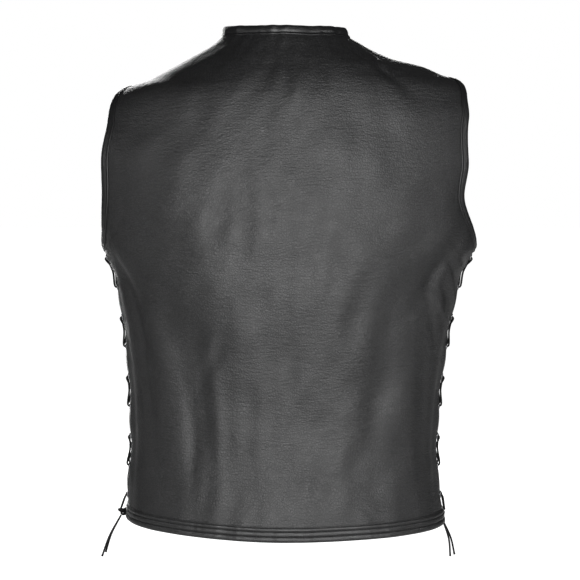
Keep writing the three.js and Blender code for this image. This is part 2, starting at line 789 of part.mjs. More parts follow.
// One crossing between two holes, at a lift off the leather where it passes the other strand
function crossing(from, to, face, lift) {
  const level = face > 0 ? lift : -wall - lift;
  const middle = skin((from.height + to.height) / 2, (from.angle + to.angle) / 2, level);
  return [
    ...outOfHole(from, face, middle),
    middle,
    ...outOfHole(to, face, middle).reverse(),
  ];
}

// One strand from the top row down. It starts inside and comes out again below the last row.
function strand(side, startFacing) {
  const holes = eyeletHeights.map((height, row) =>
    eyeletPlace(side, row % 2 === 0 ? startFacing : -startFacing, height),
  );
  const points = [];
  holes.slice(0, -1).forEach((hole, row) => {
    const outside = row % 2 === 0;
    const lift = startFacing > 0 ? lace.low : lace.high;
    points.push(...crossing(hole, holes[row + 1], outside ? 1 : -1, lift));
  });
  const { centre, size } = knots[sideName(side)];
  const last = holes.at(-1);
  const facing = Math.sign(Math.cos(radians(last.angle)));
  const goal = new THREE.Vector3(
    side * (centre[0] + laceEnd.out),
    facing * size[1] * laceEnd.apart,
    centre[2] + size[2] * laceEnd.up,
  );
  const exit = outOfHole(last, 1, goal);
  const run = goal.clone().sub(exit.at(-1));
  points.push(...exit, goal.addScaledVector(run.normalize(), -laceEnd.short));
  return points;
}

function laceGeometry(side) {
  const [down, back] = [strand(side, 1), strand(side, -1)];
  const bar = crossing(
    eyeletPlace(side, -1, eyelet.top),
    eyeletPlace(side, 1, eyelet.top),
    -1,
    lace.low,
  );
  return cord([...back.reverse(), ...bar, ...down], lace.radius, lace.sides);
}

function knotGeometry(side) {
  const { centre, size } = knots[sideName(side)];
  const { round, rings: levels, lobes, lobe } = knotForm;
  const ball = closedUp(new THREE.SphereGeometry(1, round, levels));
  const place = ball.getAttribute("position");
  const point = new THREE.Vector3();
  for (const i of range(place.count)) {
    point.fromBufferAttribute(place, i);
    const turn = Math.atan2(point.z, point.x);
    const swell = 1 - lobe + lobe * Math.cos(lobes * turn + 2 * point.y);
    place.setXYZ(i, point.x * size[0] * swell, point.y * size[1], point.z * size[2] * swell);
  }
  return ball.translate(side * centre[0], centre[1], centre[2]);
}

function tailGeometry(side, which) {
  const { centre, size, ends } = knots[sideName(side)];
  const [x, y, z] = ends[which];
  const around = Math.sign(y) * (tail.apart / size[1]);
  const below = -Math.sqrt(1 - tail.outward ** 2 - around ** 2);
  const unit = new THREE.Vector3(tail.outward, around, below);
  const [middleOfKnot, extent] = [new THREE.Vector3(...centre), new THREE.Vector3(...size)];
  const outward = unit.clone().divide(extent).normalize();
  const start = unit.multiply(extent).add(middleOfKnot).addScaledVector(outward, tail.clear);
  const end = new THREE.Vector3(x, y, z);
  const middle = start.clone().lerp(end, 0.5).add(new THREE.Vector3(tail.bow, Math.sign(y), 0));
  const path = new THREE.CatmullRomCurve3([start, middle, end].map((p) => p.setX(side * p.x)));
  const round = new THREE.Shape(
    range(tail.sides).map((i) => {
      const turn = (2 * Math.PI * i) / tail.sides;
      return new THREE.Vector2(lace.radius * Math.cos(turn), lace.radius * Math.sin(turn));
    }),
  );
  return new THREE.ExtrudeGeometry(round, { steps: tail.steps, extrudePath: path });
}

const material = Object.fromEntries(
  Object.entries(colours).map(([name, look]) => [name, new THREE.MeshStandardMaterial(look)]),
);
const vest = new THREE.Group();

function add(name, geometry, finish) {
  const mesh = new THREE.Mesh(geometry, material[finish]);
  mesh.name = name;
  vest.add(mesh);
}

const walls = {
  back: { grid: backGrid() },
  left: { grid: frontGrid(left).map((row) => [...row].reverse()) },
  right: { grid: frontGrid(right), sunk: underLeftFront },
};

function addBack() {
  const { grid } = walls.back;
  const holes = [...laceHoles(left, 1), ...laceHoles(right, 1)];
  add("back", pierced(wallGeometry(grid), holes, eyelet.barrel + seamGap), "leather");
  add("hem_band_back", clearOf(hemStrip(grid[0]), [walls.back]), "leather");
}

function addFront(side, name) {
  const { grid, sunk } = walls[name];
  const laced = pierced(
    wallGeometry(grid, sunk),
    laceHoles(side, -1),
    eyelet.barrel + seamGap,
    sunk,
  );
  add(`front_${name}`, pierced(laced, studPlaces, stud.shank + seamGap, sunk), "leather");
  add(`hem_band_front_${name}`, clearOf(hemStrip(grid[0], sunk), [walls[name]]), "leather");
}

function addBindings() {
  for (const { name, side } of sides) {
    const folded = strip(armholeEdge(side), bindingFace(binding), -side, { closed: true });
    add(`armhole_binding_${name}`, clearOf(folded, [walls.back, walls[name]]), "binding");
  }
  const { back, left: leftFront, right: rightFront } = walls;
  add("neck_binding", clearOf(neckGeometry(), [back, leftFront, rightFront]), "binding");
}

function addLacing(side, name) {
  for (const [facing, panel] of [[1, "back"], [-1, "front"]]) {
    laceHoles(side, facing).forEach((place, row) => {
      add(`eyelet_${name}_${panel}_${row + 1}`, eyeletGeometry(place), "metal");
    });
  }
  add(`lace_${name}`, laceGeometry(side), "lace");
  add(`knot_${name}`, knotGeometry(side), "lace");
  for (const which of [0, 1]) {
    add(`lace_end_${name}_${which + 1}`, tailGeometry(side, which), "lace");
  }
}

addBack();
sides.forEach(({ name, side }) => addFront(side, name));
addBindings();
sides.forEach(({ name, side }) => addLacing(side, name));
studPlaces.forEach((place, i) => add(`snap_${i + 1}`, studGeometry(place), "metal"));

export default vest;
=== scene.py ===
import bpy
import numpy as np
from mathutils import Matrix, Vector


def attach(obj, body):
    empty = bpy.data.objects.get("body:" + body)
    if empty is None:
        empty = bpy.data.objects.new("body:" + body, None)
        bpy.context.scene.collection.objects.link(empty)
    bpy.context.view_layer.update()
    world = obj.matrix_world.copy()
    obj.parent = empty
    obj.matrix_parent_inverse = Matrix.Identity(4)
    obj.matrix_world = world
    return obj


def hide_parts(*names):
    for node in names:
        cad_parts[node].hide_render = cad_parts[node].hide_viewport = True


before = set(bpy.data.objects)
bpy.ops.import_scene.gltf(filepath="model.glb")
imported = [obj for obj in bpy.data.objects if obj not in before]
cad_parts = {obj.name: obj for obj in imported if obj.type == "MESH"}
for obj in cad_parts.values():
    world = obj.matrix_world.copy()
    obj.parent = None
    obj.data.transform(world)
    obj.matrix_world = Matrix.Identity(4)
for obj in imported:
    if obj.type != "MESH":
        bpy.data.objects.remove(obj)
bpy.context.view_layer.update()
print("frame loaded,", len(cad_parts), "nodes")

# Sizes below are in millimetres, and meshes are made in metres.
# +Z is up, +X the vest's own left, +Y its back. The origin is between the shoulders.
metre = 0.001
left, right = 1, -1
sides = {"left": left, "right": right}
scene = bpy.context.scene


shot = {
    "target": (-0.00576, 0.0, -0.3133),  # metres
    "distance": 2.6,
    "elevation": 3.0,  # degrees above the horizon, from behind
    "focal": 2031.25,  # in pixels of the picture
    "picture": 580,
    "sensor": 36.0,
}


def addCamera():
    # stands at target + distance * (0, cos e, sin e) and looks back at the target
    rise = np.radians(shot["elevation"])
    away = Vector((0.0, np.cos(rise), np.sin(rise)))
    data = bpy.data.cameras.new("camera")
    data.sensor_width = shot["sensor"]
    data.lens = shot["sensor"] * shot["focal"] / shot["picture"]
    camera = bpy.data.objects.new("camera", data)
    camera.location = Vector(shot["target"]) + away * shot["distance"]
    camera.rotation_euler = (-away).to_track_quat("-Z", "Y").to_euler()
    scene.collection.objects.link(camera)
    scene.camera = camera


addCamera()


def sideName(side):
    return "left" if side > 0 else "right"


def unit(vectors):
    return vectors / np.maximum(np.linalg.norm(vectors, axis=-1, keepdims=True), 1e-12)


def runLength(points):
    # the way along a line of points, from 0 at its start
    return np.r_[0, np.cumsum(np.linalg.norm(np.diff(points, axis=0), axis=1))]


def hermite(start, end, startSlope, endSlope, t):
    # cubic from start at t = 0 to end at t = 1, with the two slopes there
    return (
        (2 * t**3 - 3 * t**2 + 1) * start + (t**3 - 2 * t**2 + t) * startSlope
        + (3 * t**2 - 2 * t**3) * end + (t**3 - t**2) * endSlope
    )


def tubeMesh(path, radius, sideCount, closed=False):
    # rings of points round each place of a path, carried along it without twisting
    count = len(path)
    ahead = np.roll(path, -1, 0) if closed else path[np.minimum(np.arange(count) + 1, count - 1)]
    before = np.roll(path, 1, 0) if closed else path[np.maximum(np.arange(count) - 1, 0)]
    tangent = unit(ahead - before)
    across = np.zeros_like(path)
    across[0] = unit(np.cross(tangent[0], [0.3, 0.2, 1.0]))  # any direction off the path
    for k in range(1, count):  # each ring's first spoke is the last one's, made square to the path again
        across[k] = unit(across[k - 1] - tangent[k] * np.dot(across[k - 1], tangent[k]))
    second = np.cross(tangent, across)
    turn = 2 * np.pi * np.arange(sideCount) / sideCount
    if closed:  # the twist that is left at the join is shared along the path
        last = unit(across[-1] - tangent[0] * np.dot(across[-1], tangent[0]))
        twist = np.arctan2(np.dot(np.cross(last, across[0]), tangent[0]), np.dot(last, across[0]))
        turn = turn[None] + (twist * np.arange(count) / count)[:, None]
    else:
        turn = np.broadcast_to(turn, (count, sideCount))
    radius = np.broadcast_to(radius, count)[:, None, None]
    rings = path[:, None] + radius * (
        across[:, None] * np.cos(turn)[..., None] + second[:, None] * np.sin(turn)[..., None]
    )
    i, j = np.meshgrid(np.arange(count if closed else count - 1), np.arange(sideCount), indexing="ij")
    i, j = i.ravel(), j.ravel()
    here, there = i * sideCount, ((i + 1) % count) * sideCount
    nextSide = (j + 1) % sideCount
    faces = [np.c_[here + j, here + nextSide, there + nextSide, there + j]]
    if not closed:
        faces.append(np.arange(sideCount)[::-1][None])
        faces.append((count - 1) * sideCount + np.arange(sideCount)[None])
    return rings.reshape(-1, 3), faces


def outwardVolume(points, faces):
    # a sixth of a . (b x c) over the triangles, so that its sign tells which way the faces look
    total = 0.0
    for rows in faces:
        for k in range(1, rows.shape[1] - 1):
            a, b, c = points[rows[:, 0]], points[rows[:, k]], points[rows[:, k + 1]]
            total += float(np.einsum("ij,ij->i", a, np.cross(b, c)).sum()) / 6
    return total


def facingNormals(points, faces):
    # each corner looks along the sum of its faces' area vectors, half the cross product of their diagonals
    total = np.zeros_like(points)
    for rows in faces:
        middle = (rows.shape[1] + 1) // 2
        a, b, c, d = (points[rows[:, k]] for k in (0, 1, middle, -1))
        area = np.cross(c - a, d - b)
        for corner in rows.T:
            for axis in range(3):
                total[:, axis] += np.bincount(corner, area[:, axis], len(points))
    return unit(total)


def makePiece(name, meshes, material=None, nodes=(), inside=None):
    # one object from point and face arrays, riding on the one body; a second array of faces is the
    # inside, and may have a finish of its own
    if isinstance(meshes, tuple):
        meshes = [meshes]
    points, normals, loops, sizes, finishOf, start = [], [], [], [], [], 0
    for place, faces in meshes:
        flip = outwardVolume(place - place.mean(0), faces) < 0
        faces = [rows[:, ::-1] if flip else rows for rows in faces]
        normals.append(facingNormals(place, faces))
        for number, rows in enumerate(faces):
            loops.append((rows + start).ravel())
            sizes.append(np.full(len(rows), rows.shape[1]))
            finishOf.append(np.full(len(rows), 1 if inside and number else 0))
        points.append(place)
        start += len(place)
    points, loops, sizes = np.concatenate(points) * metre, np.concatenate(loops), np.concatenate(sizes)
    mesh = bpy.data.meshes.new(name)
    mesh.vertices.add(len(points))
    mesh.vertices.foreach_set("co", points.astype(np.float32).ravel())
    mesh.loops.add(len(loops))
    mesh.loops.foreach_set("vertex_index", loops.astype(np.int32))
    mesh.polygons.add(len(sizes))
    mesh.polygons.foreach_set("loop_start", np.r_[0, np.cumsum(sizes)[:-1]].astype(np.int32))
    mesh.update(calc_edges=True)
    mesh.validate()
    mesh.shade_smooth()
    for surface in filter(None, (material, inside)):
        mesh.materials.append(surface)
    mesh.normals_split_custom_set_from_vertices(np.concatenate(normals))
    if inside:
        mesh.polygons.foreach_set("material_index", np.concatenate(finishOf).astype(np.int32))
    piece = bpy.data.objects.new(name, mesh)
    scene.collection.objects.link(piece)
    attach(piece, "root")
    if nodes:
        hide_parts(*nodes)
    print(name, len(mesh.polygons), "faces")
    return piece


# Two free ends of the lace hang under each knot. x is outwards, so it is turned to the knot's side.
laceEnds = {
    "thickness": 2.5,
    "points": 24,
    "sides": 12,
    "flare": 1.18,  # the cut end spreads a little
    "left": [
        {"exit": (211.9, 1.8, -603.7), "middle": (226.4, 3.9, -629.8), "end": (236.0, 4.0, -656.0)},
        {"exit": (211.9, -1.8, -603.7), "middle": (224.4, -3.4, -627.8), "end": (232.0, -3.0, -652.0)},
    ],
    "right": [
        {"exit": (203.0, 1.8, -611.0), "middle": (210.0, 3.9, -633.5), "end": (212.0, 4.0, -656.0)},
        {"exit": (203.0, -1.8, -611.0), "middle": (213.0, -3.4, -633.0), "end": (218.0, -3.0, -655.0)},
    ],
}


def threePointCurve(start, middle, end, count):
    # Catmull-Rom: a cubic through each two points, with half the chord of its neighbours as slope
    ends = [2 * start - middle, start, middle, end, 2 * end - middle]
    t = np.linspace(0, 1, count // 2 + 1)[:, None]
    runs = [
        hermite(ends[i], ends[i + 1], (ends[i + 1] - ends[i - 1]) / 2, (ends[i + 2] - ends[i]) / 2, t)
        for i in (1, 2)
    ]
    return np.concatenate([runs[0][:-1], runs[1]])


def addLaceEnds():
    made = []
    for name, side in sides.items():
        for number, row in enumerate(laceEnds[name], 1):
            turn = np.array([side, 1, 1])
            stops = (np.array(row[key]) * turn for key in ("exit", "middle", "end"))
            route = threePointCurve(*stops, laceEnds["points"])
            last = len(route) - 1
            widths = np.interp(np.arange(last + 1), [0, last - 2, last], [1, 1, laceEnds["flare"]])
            end = makePiece(
                f"laceEnd_{name}_{number}",
                tubeMesh(route, laceEnds["thickness"] / 2 * widths, laceEnds["sides"]),
                nodes=[f"lace_end_{name}_{number}"],
            )
            made.append(end)
    return made


laceEndPieces = addLaceEnds()
print("camera and", len(laceEndPieces), "lace ends in place")


# Level rings from the neck down: half width each side, depth behind and in front, and
# squareness, where 2 is an ellipse.
formColumns = ("height", "left", "right", "back", "front", "square")
formRows = [
    (28, 75, 73, 60, 50, 2), (20, 77.5, 75.5, 61.5, 53, 2), (10, 80.5, 79.5, 65, 58, 2),
    (0, 90, 95, 72, 65, 2), (-10, 106, 113, 79, 72, 2), (-20, 124, 137, 86, 79, 2.05),
    (-30, 142, 176, 92, 86, 2.1), (-40, 161, 199, 98, 92, 2.1), (-46.5, 173, 217, 101, 95, 2.15),
    (-57, 203, 231, 105, 100, 2.2), (-70, 222, 239, 109, 106, 2.2), (-97, 239, 250, 114, 114, 2.2),
    (-148, 254, 253, 121, 124, 2.25), (-200, 245.5, 239.5, 125, 132, 2.3), (-240, 236, 243, 126, 136, 2.3),
    (-258, 232, 241.5, 125, 137, 2.3), (-276, 225, 232.5, 124, 137, 2.3), (-300, 216, 222, 123, 137, 2.3),
    (-340, 209, 213, 119, 135, 2.3), (-400, 202, 203, 113, 132, 2.3), (-450, 199, 197, 109, 128, 2.3),
    (-500, 198, 194, 108, 127, 2.3), (-550, 201, 195, 111, 129, 2.3), (-600, 203, 202, 117, 132, 2.3),
    (-640, 205, 206, 122, 135, 2.3),
]
form = dict(zip(formColumns, np.array(formRows[::-1], float).T))

edges = {
    "shoulderTip": {"left": -59, "right": -48},
    "neckPoint": {"left": 20.5, "right": 18.5},
    "neckBack": 17.5,
    "underarm": -254,
    "hemSide": {"left": -602, "right": -609},
    "hemBack": -617,
    "hemFront": -612,
    "backLevel": -212,
    "armholeBack": 61,
    "armholeFront": 78,
    "armholeBow": 0.9,  # powers that round the edges: below 1 they swell
    "veeBow": 0.92,
    "neckBow": 0.95,
    "veeBottom": -204,
    "frontLap": 15,
    "sideGap": 7,
    "seamEnd": -260.5,
    "opensBy": -268.5,
    "seamGap": -0.08,  # the panels meet in their seams
    "lapDepth": 6,
    "lapFrom": -62,
    "lapTo": -28,
}
wall = 1.6
eyelets = {"rows": 9, "top": -270.5, "bottom": -574.5, "inset": 8, "segments": 26}
eyeletPitch = (eyelets["top"] - eyelets["bottom"]) / (eyelets["rows"] - 1)
eyeletHeights = eyelets["top"] - eyeletPitch * np.arange(eyelets["rows"])

# Soft folds and creases: middle (angle round the body from the centre back, height), length,
# width, lean in degrees from upright, rise (a trough below zero), and how far the ends bend off
foldColumns = ("angle", "height", "length", "width", "lean", "rise", "bend")
foldRows = [
    # the large ones
    (74, -320, 62, 9, 16, -2.6, 0), (80, -470, 110, 8, 2, -2.2, 0), (50, -420, 130, 26, 12, -4.5, 0),
    (34, -300, 90, 30, 30, 3, 0), (-68, -282, 42, 9, -24, -3.4, 0), (-73, -330, 60, 8, -10, 2.4, 0),
    (-80, -470, 110, 8, -2, -2.2, 0), (-52, -410, 130, 24, -10, -4.5, 0), (-30, -330, 110, 28, -24, 2.6, 0),
    (-58, -38, 30, 9, 20, -2.4, 0), (104, -330, 60, 12, -20, -3, 0), (130, -400, 120, 24, -14, -4, 0),
    (-104, -330, 60, 12, 20, -3, 0), (-130, -410, 120, 24, 14, -4, 0),
    # under the arms and down the sides of the back
    (-77, -279, 27, 3.6, 45, 2.2, 0), (-73.5, -281, 20, 4.4, 41, -2.8, 0), (-81, -279, 25, 3.4, 61, -1.4, 0),
    (-78, -309, 26, 4.4, 36, 2.2, 0), (-74, -313, 14, 5, 23, -3.4, 0), (-73, -335, 19, 4, 41, 2.1, 0),
    (-76, -365, 22, 6, 14, 2.3, 0), (-71, -361, 22, 5, 19, -2.8, 0), (-67, -303, 44, 8, -6, -1.9, -2),
    (78, -268, 18, 4, -9, 1.3, 0), (73, -304, 34, 8, 19, -3.2, 0),
    (70, -395, 78, 10, 2, -3.2, -3), (-70, -455, 104, 11, 2, -2.6, 3), (73, -92, 26, 9, 21, -1.1, 0),
    (-73, -105, 36, 8, -6, -0.7, 0),
    # across the back
    (42, -407, 51, 10, -35, -1.8, 4), (51, -500, 82, 10, 4, -2.2, 3), (40, -470, 90, 13, 4, 2.4, 0),
    (-16, -276, 56, 18, 33, 1.3, 0), (17, -517, 55, 18, 9, 0.9, 0), (-40, -444, 100, 18, 16, 1.1, 4),
    (-55, -456, 20, 2.6, 114, -0.55, 2), (-60, -529, 15, 2.6, 98, -0.5, 0), (-7, -395, 19, 2.4, 90, -0.4, 1),
    (-45, -584, 12, 2.6, 56, -0.5, 0), (-6, -573, 13, 2.6, 59, -0.5, 0), (24, -580, 14, 2.8, -50, -0.4, 0),
    # from the shoulder seams
    (-58, -20, 26, 3, -62, 0.9, 0), (-59, -26, 26, 3, -62, -0.8, 0), (-62, -24, 28, 3, -63, 1.1, 0),
    (-66, -28, 26, 5, -69, -1.3, 0), (-65, -36, 14, 4, -58, 0.8, 0), (-67, -46, 20, 4, -54, 0.7, 0),
    (-68, -60, 12, 4, -27, 0.6, 0), (-41, -12, 24, 4, -48, -0.7, 0), (-50, -17, 28, 4, -59, -0.6, 0),
    (51, -11, 44, 7, 68, -1.1, 0), (68, -64, 12, 4, 51, 0.6, 0), (60, -40, 26, 6, 58, -0.6, 0),
    # similar ones on the fronts
    (106, -290, 40, 5, 6, 1.5, -2), (110, -300, 38, 5, 10, -1.3, 2), (101, -360, 44, 5, -4, 1.1, 0),
    (-105, -296, 42, 5, -8, 1.6, 2), (-111, -288, 36, 6, -12, -1.4, -2), (-102, -372, 50, 5, 4, 1.0, 0),
    (126, -250, 46, 9, 38, -1.2, 3), (-124, -240, 50, 10, -42, -1.3, -3), (142, -470, 96, 12, -8, 1.1, 4),
    (-140, -450, 88, 12, 12, 1.0, -4), (118, -500, 70, 9, 4, -1.3, -3), (-119, -520, 64, 9, -6, -1.2, 3),
    (158, -380, 24, 3, 84, -0.6, 2), (-152, -470, 20, 3, -80, -0.6, 0), (150, -575, 14, 3, -40, -0.5, 0),
    (-134, -580, 14, 3, 48, -0.5, 0), (120, -40, 24, 4, 60, 0.7, 0), (-122, -46, 24, 4, -60, 0.8, 0),
]
folds = dict(zip(foldColumns, np.array(foldRows, float).T))
foldRadius = 190  # turns an angle round the body into a length
scallop = {"rise": 2, "reach": 22, "fadeAbove": -276.5, "fadeBelow": -588, "fadeOver": 15}


def ease(value, low, high):
    # 3t^2 - 2t^3 of the share of the way from low to high
    t = np.clip((value - low) / (high - low), 0, 1)
    return t * t * (3 - 2 * t)


def mix(a, b, share):
    return a + (b - a) * share


def smoothColumn(at, to, value):
    # cubic through the table, whose slope at a row is the harmonic mean of the slopes beside it
    slope = np.diff(to) / np.diff(at)
    below, above = np.r_[slope[:1], slope], np.r_[slope, slope[-1:]]
    same = below * above > 0
    tangent = np.where(same, 2 * below * above / np.where(same, below + above, 1), 0)
    value = np.clip(value, at[0], at[-1])
    i = np.clip(np.searchsorted(at, value) - 1, 0, len(slope) - 1)
    step = at[i + 1] - at[i]
    return hermite(to[i], to[i + 1], step * tangent[i], step * tangent[i + 1], (value - at[i]) / step)


def ringSize(name, height):
    return smoothColumn(form["height"], form[name], height)


def ringPoint(height, angle):
    # superellipse: (reach sin a, reach cos a, height), with
    # reach = (|sin a / width|^n + |cos a / depth|^n)^(-1/n)
    height, angle = np.broadcast_arrays(np.asarray(height, float), np.asarray(angle, float))
    across, behind = np.sin(np.radians(angle)), np.cos(np.radians(angle))
    width = np.where(across > 0, ringSize("left", height), ringSize("right", height))
    depth = np.where(behind > 0, ringSize("back", height), ringSize("front", height))
    power = ringSize("square", height)
    reach = (np.abs(across / width) ** power + np.abs(behind / depth) ** power) ** (-1 / power)
    return np.stack([across * reach, behind * reach, height], -1)


def surfaceSteps(height, angle):
    # how the form runs for one millimetre up and one degree round, and up x round as its normal
    up = ringPoint(height + 0.5, angle) - ringPoint(height - 0.5, angle)
    around = ringPoint(height, angle + 0.5) - ringPoint(height, angle - 0.5)
    return up, around, unit(np.cross(up, around))


def wrapped(angle):
    return (angle + 180) % 360 - 180


def foldRelief(height, angle):
    # each fold is rise * exp(-(along / length)^2 - (across / width)^2), and its axis bends off by
    # bend * (along / length)^2
    total = np.zeros(np.shape(height))
    for k in range(len(folds["angle"])):
        fold = {name: column[k] for name, column in folds.items()}
        around = np.radians(wrapped(angle - fold["angle"])) * foldRadius
        up = height - fold["height"]
        lean = np.radians(fold["lean"])
        along = (up * np.cos(lean) + around * np.sin(lean)) / fold["length"]
        across = around * np.cos(lean) - up * np.sin(lean) - fold["bend"] * along**2
        total = total + fold["rise"] * np.exp(-(along**2) - (across / fold["width"]) ** 2)
    return total


def scallopRelief(height, angle):
    # cosine up the side, highest where the lace runs inside, fading with distance from the side
    fromSide = np.radians(np.abs(wrapped(angle)) - 90) * foldRadius
    window = ease(height, scallop["fadeBelow"], scallop["fadeBelow"] + scallop["fadeOver"]) * (
        1 - ease(height, scallop["fadeAbove"] - scallop["fadeOver"], scallop["fadeAbove"])
    )
    wave = np.cos(np.pi * (height - (eyelets["top"] - 1.5 * eyeletPitch)) / eyeletPitch)
    return scallop["rise"] * wave * window * np.exp(-((fromSide / scallop["reach"]) ** 2))


looseness = {
    "waves": 16, "shortest": 38, "longest": 150, "rise": 0.0065, "seed": 11,
    "fade": (4, 30),  # degrees from the side over which the waves set in
}


def looseRelief(height, angle):
    # a sum of sine waves in fixed directions, each as high as its own length times rise
    pick = np.random.default_rng(looseness["seed"])
    around = np.radians(wrapped(angle)) * foldRadius
    total = np.zeros(np.shape(height))
    for _ in range(looseness["waves"]):
        length = mix(looseness["shortest"], looseness["longest"], pick.random() ** 2)
        turn, phase = pick.random(2) * 2 * np.pi
        total = total + looseness["rise"] * length * 0.5 * np.sin(
            2 * np.pi * (around * np.cos(turn) + height * np.sin(turn)) / length + phase
        )
    return total * ease(np.abs(np.abs(wrapped(angle)) - 90), *looseness["fade"])


def underLeft(height, angle):
    # the right front lies lower where the left one passes over it
    point = ringPoint(height, angle)
    return np.where(
        (point[..., 1] < 0) & (np.asarray(angle) < 0),
        edges["lapDepth"] * ease(point[..., 0], edges["lapFrom"], edges["lapTo"]), 0,
    )


def skin(height, angle, lift=0.0):
    # a point of the form, moved out along its normal by the folds there and a lift off the outer face
    height, angle = np.broadcast_arrays(np.asarray(height, float), np.asarray(angle, float))
    relief = foldRelief(height, angle) + scallopRelief(height, angle) + looseRelief(height, angle)
    offset = relief + lift - underLeft(height, angle)
    return ringPoint(height, angle) + surfaceSteps(height, angle)[2] * offset[..., None]


def leatherNormal(height, angle):
    # from the run of the folded surface itself, half a pitch up and down and a few degrees each way
    reach = 3
    up = skin(height + eyeletPitch / 2, angle) - skin(height - eyeletPitch / 2, angle)
    around = skin(height, angle + reach) - skin(height, angle - reach)
    return unit(np.cross(up, around))


def angleAtDepth(side, height, depth):
    # the angle at which a level ring has that depth in front (negative) or behind
    reach = np.where(depth > 0, ringSize("back", height), ringSize("front", height))
    power = ringSize("square", height)
    across = ringSize(sideName(side), height) * (1 - np.abs(depth / reach) ** power) ** (1 / power)
    return side * np.degrees(np.arctan2(across, depth))


def frontAngle(side, height, width):
    # the angle in front at which a ring is that wide, counted from the side's own hip
    outward = np.where(width > 0, 1, -1)
    reach = np.where(outward > 0, ringSize("left", height), ringSize("right", height))
    power = ringSize("square", height)
    share = np.minimum(np.abs(width) / reach, 1)
    depth = -ringSize("front", height) * (1 - share**power) ** (1 / power)
    angle = np.degrees(np.arctan2(width, depth))
    return np.where(angle * side < 0, angle + side * 360, angle)


def hemHeight(angle):
    behind = np.cos(np.radians(angle))
    side = np.where(np.sin(np.radians(angle)) > 0, edges["hemSide"]["left"], edges["hemSide"]["right"])
    return mix(side, np.where(behind > 0, edges["hemBack"], edges["hemFront"]), np.abs(behind))


def halfGap(height):
    return mix(edges["sideGap"], edges["seamGap"], ease(height, edges["opensBy"], edges["seamEnd"]))


def shellMesh(outer, inner, keep=None, wrapRows=False):
    # two matching grids of points joined round every border and hole of the cells that are kept
    rows, columns = outer.shape[:2]
    cellRows = rows if wrapRows else rows - 1
    if keep is None:
        keep = np.ones((cellRows, columns - 1), bool)
    i, j = np.nonzero(keep)
    layer = rows * columns

    def at(row, column, inside=0):
        return (row % rows) * columns + column + inside * layer

    outside = [np.c_[at(i, j), at(i + 1, j), at(i + 1, j + 1), at(i, j + 1)]]
    inside = np.c_[at(i, j, 1), at(i, j + 1, 1), at(i + 1, j + 1, 1), at(i + 1, j, 1)]
    padded = np.pad(keep, ((0, 0), (1, 1)))
    byRow = np.concatenate([keep[-1:], keep, keep[:1]]) if wrapRows else np.pad(keep, ((1, 1), (0, 0)))
    for free, a, b in (
        (~padded[i, j], (1, 0), (0, 0)),
        (~padded[i, j + 2], (0, 1), (1, 1)),
        (~byRow[i, j], (0, 0), (0, 1)),
        (~byRow[i + 2, j], (1, 1), (1, 0)),
    ):
        r, c = i[free], j[free]
        outside.append(np.c_[
            at(r + a[0], c + a[1]), at(r + b[0], c + b[1]),
            at(r + b[0], c + b[1], 1), at(r + a[0], c + a[1], 1),
        ])
    points = np.concatenate([outer.reshape(-1, 3), inner.reshape(-1, 3)])
    return points, [np.concatenate(outside), inside]


def turnedMesh(profile, segments, centres, normals):
    # an outline of (radius, lift) turned about each normal; one that starts and ends on the axis is
    # closed there by fans of triangles
    radius, lift = np.array(profile, float).T
    onAxis = radius[0] == 0
    helper = np.where(np.abs(normals[:, 2:3]) > 0.9, [[1.0, 0, 0]], [[0, 0, 1.0]])
    first = unit(np.cross(normals, helper))
    second = np.cross(normals, first)
    body = slice(1, -1) if onAxis else slice(None)
    r, z = radius[body], lift[body]
    turn = 2 * np.pi * np.arange(segments) / segments
    spoke = first[:, None] * np.cos(turn)[None, :, None] + second[:, None] * np.sin(turn)[None, :, None]
    points = (
        centres[:, None, None] + spoke[:, None] * r[None, :, None, None]
        + normals[:, None, None] * z[None, :, None, None]
    )
    levels = len(r)
    spans = levels - 1 if onAxis else levels
    i, j = (a.ravel() for a in np.meshgrid(np.arange(spans), np.arange(segments), indexing="ij"))
    up, around = (i + 1) % levels, (j + 1) % segments
    quads = np.c_[i * segments + j, up * segments + j, up * segments + around, i * segments + around]
    perCopy = levels * segments
    shift = np.arange(len(centres))[:, None, None] * perCopy
    points = points.reshape(-1, 3)
    faces = [(quads[None] + shift).reshape(-1, 4)]
    if onAxis:
        j = np.arange(segments)
        poles = np.stack([centres + normals * lift[0], centres + normals * lift[-1]], 1).reshape(-1, 3)
        base = len(points) + 2 * np.arange(len(centres))[:, None]
        ring = shift[:, 0]
        top = (levels - 1) * segments
        firstFan = np.stack([base + 0 * j, ring + j, ring + (j + 1) % segments], -1)
        lastFan = np.stack([base + 1 + 0 * j, ring + top + (j + 1) % segments, ring + top + j], -1)
        points = np.concatenate([points, poles])
        faces.append(np.concatenate([firstFan, lastFan]).reshape(-1, 3))
    return points, faces


def groupSockets(tree, direction, names, kind="NodeSocketFloat"):
    for name in names:
        tree.interface.new_socket(name=name, in_out=direction, socket_type=kind)


pattern = {
    "warp": {"scale": 210, "detail": 2, "shift": 0.0016},  # the shift is in metres
    "pebble": {"flatFrom": 0.22, "rounding": 0.12, "steepness": 4.2, "height": 0.4},
    "lines": {"stretch": (0.45, 0.45, 1.9), "detail": 3, "roughness": 0.6, "height": 1.5},
    "patch": {"detail": 4, "roughness": 0.55, "share": 0.6, "range": (0.3, 0.7)},
    "mottle": {"scale": 62, "detail": 3, "share": 0.4, "height": 0.9},
}


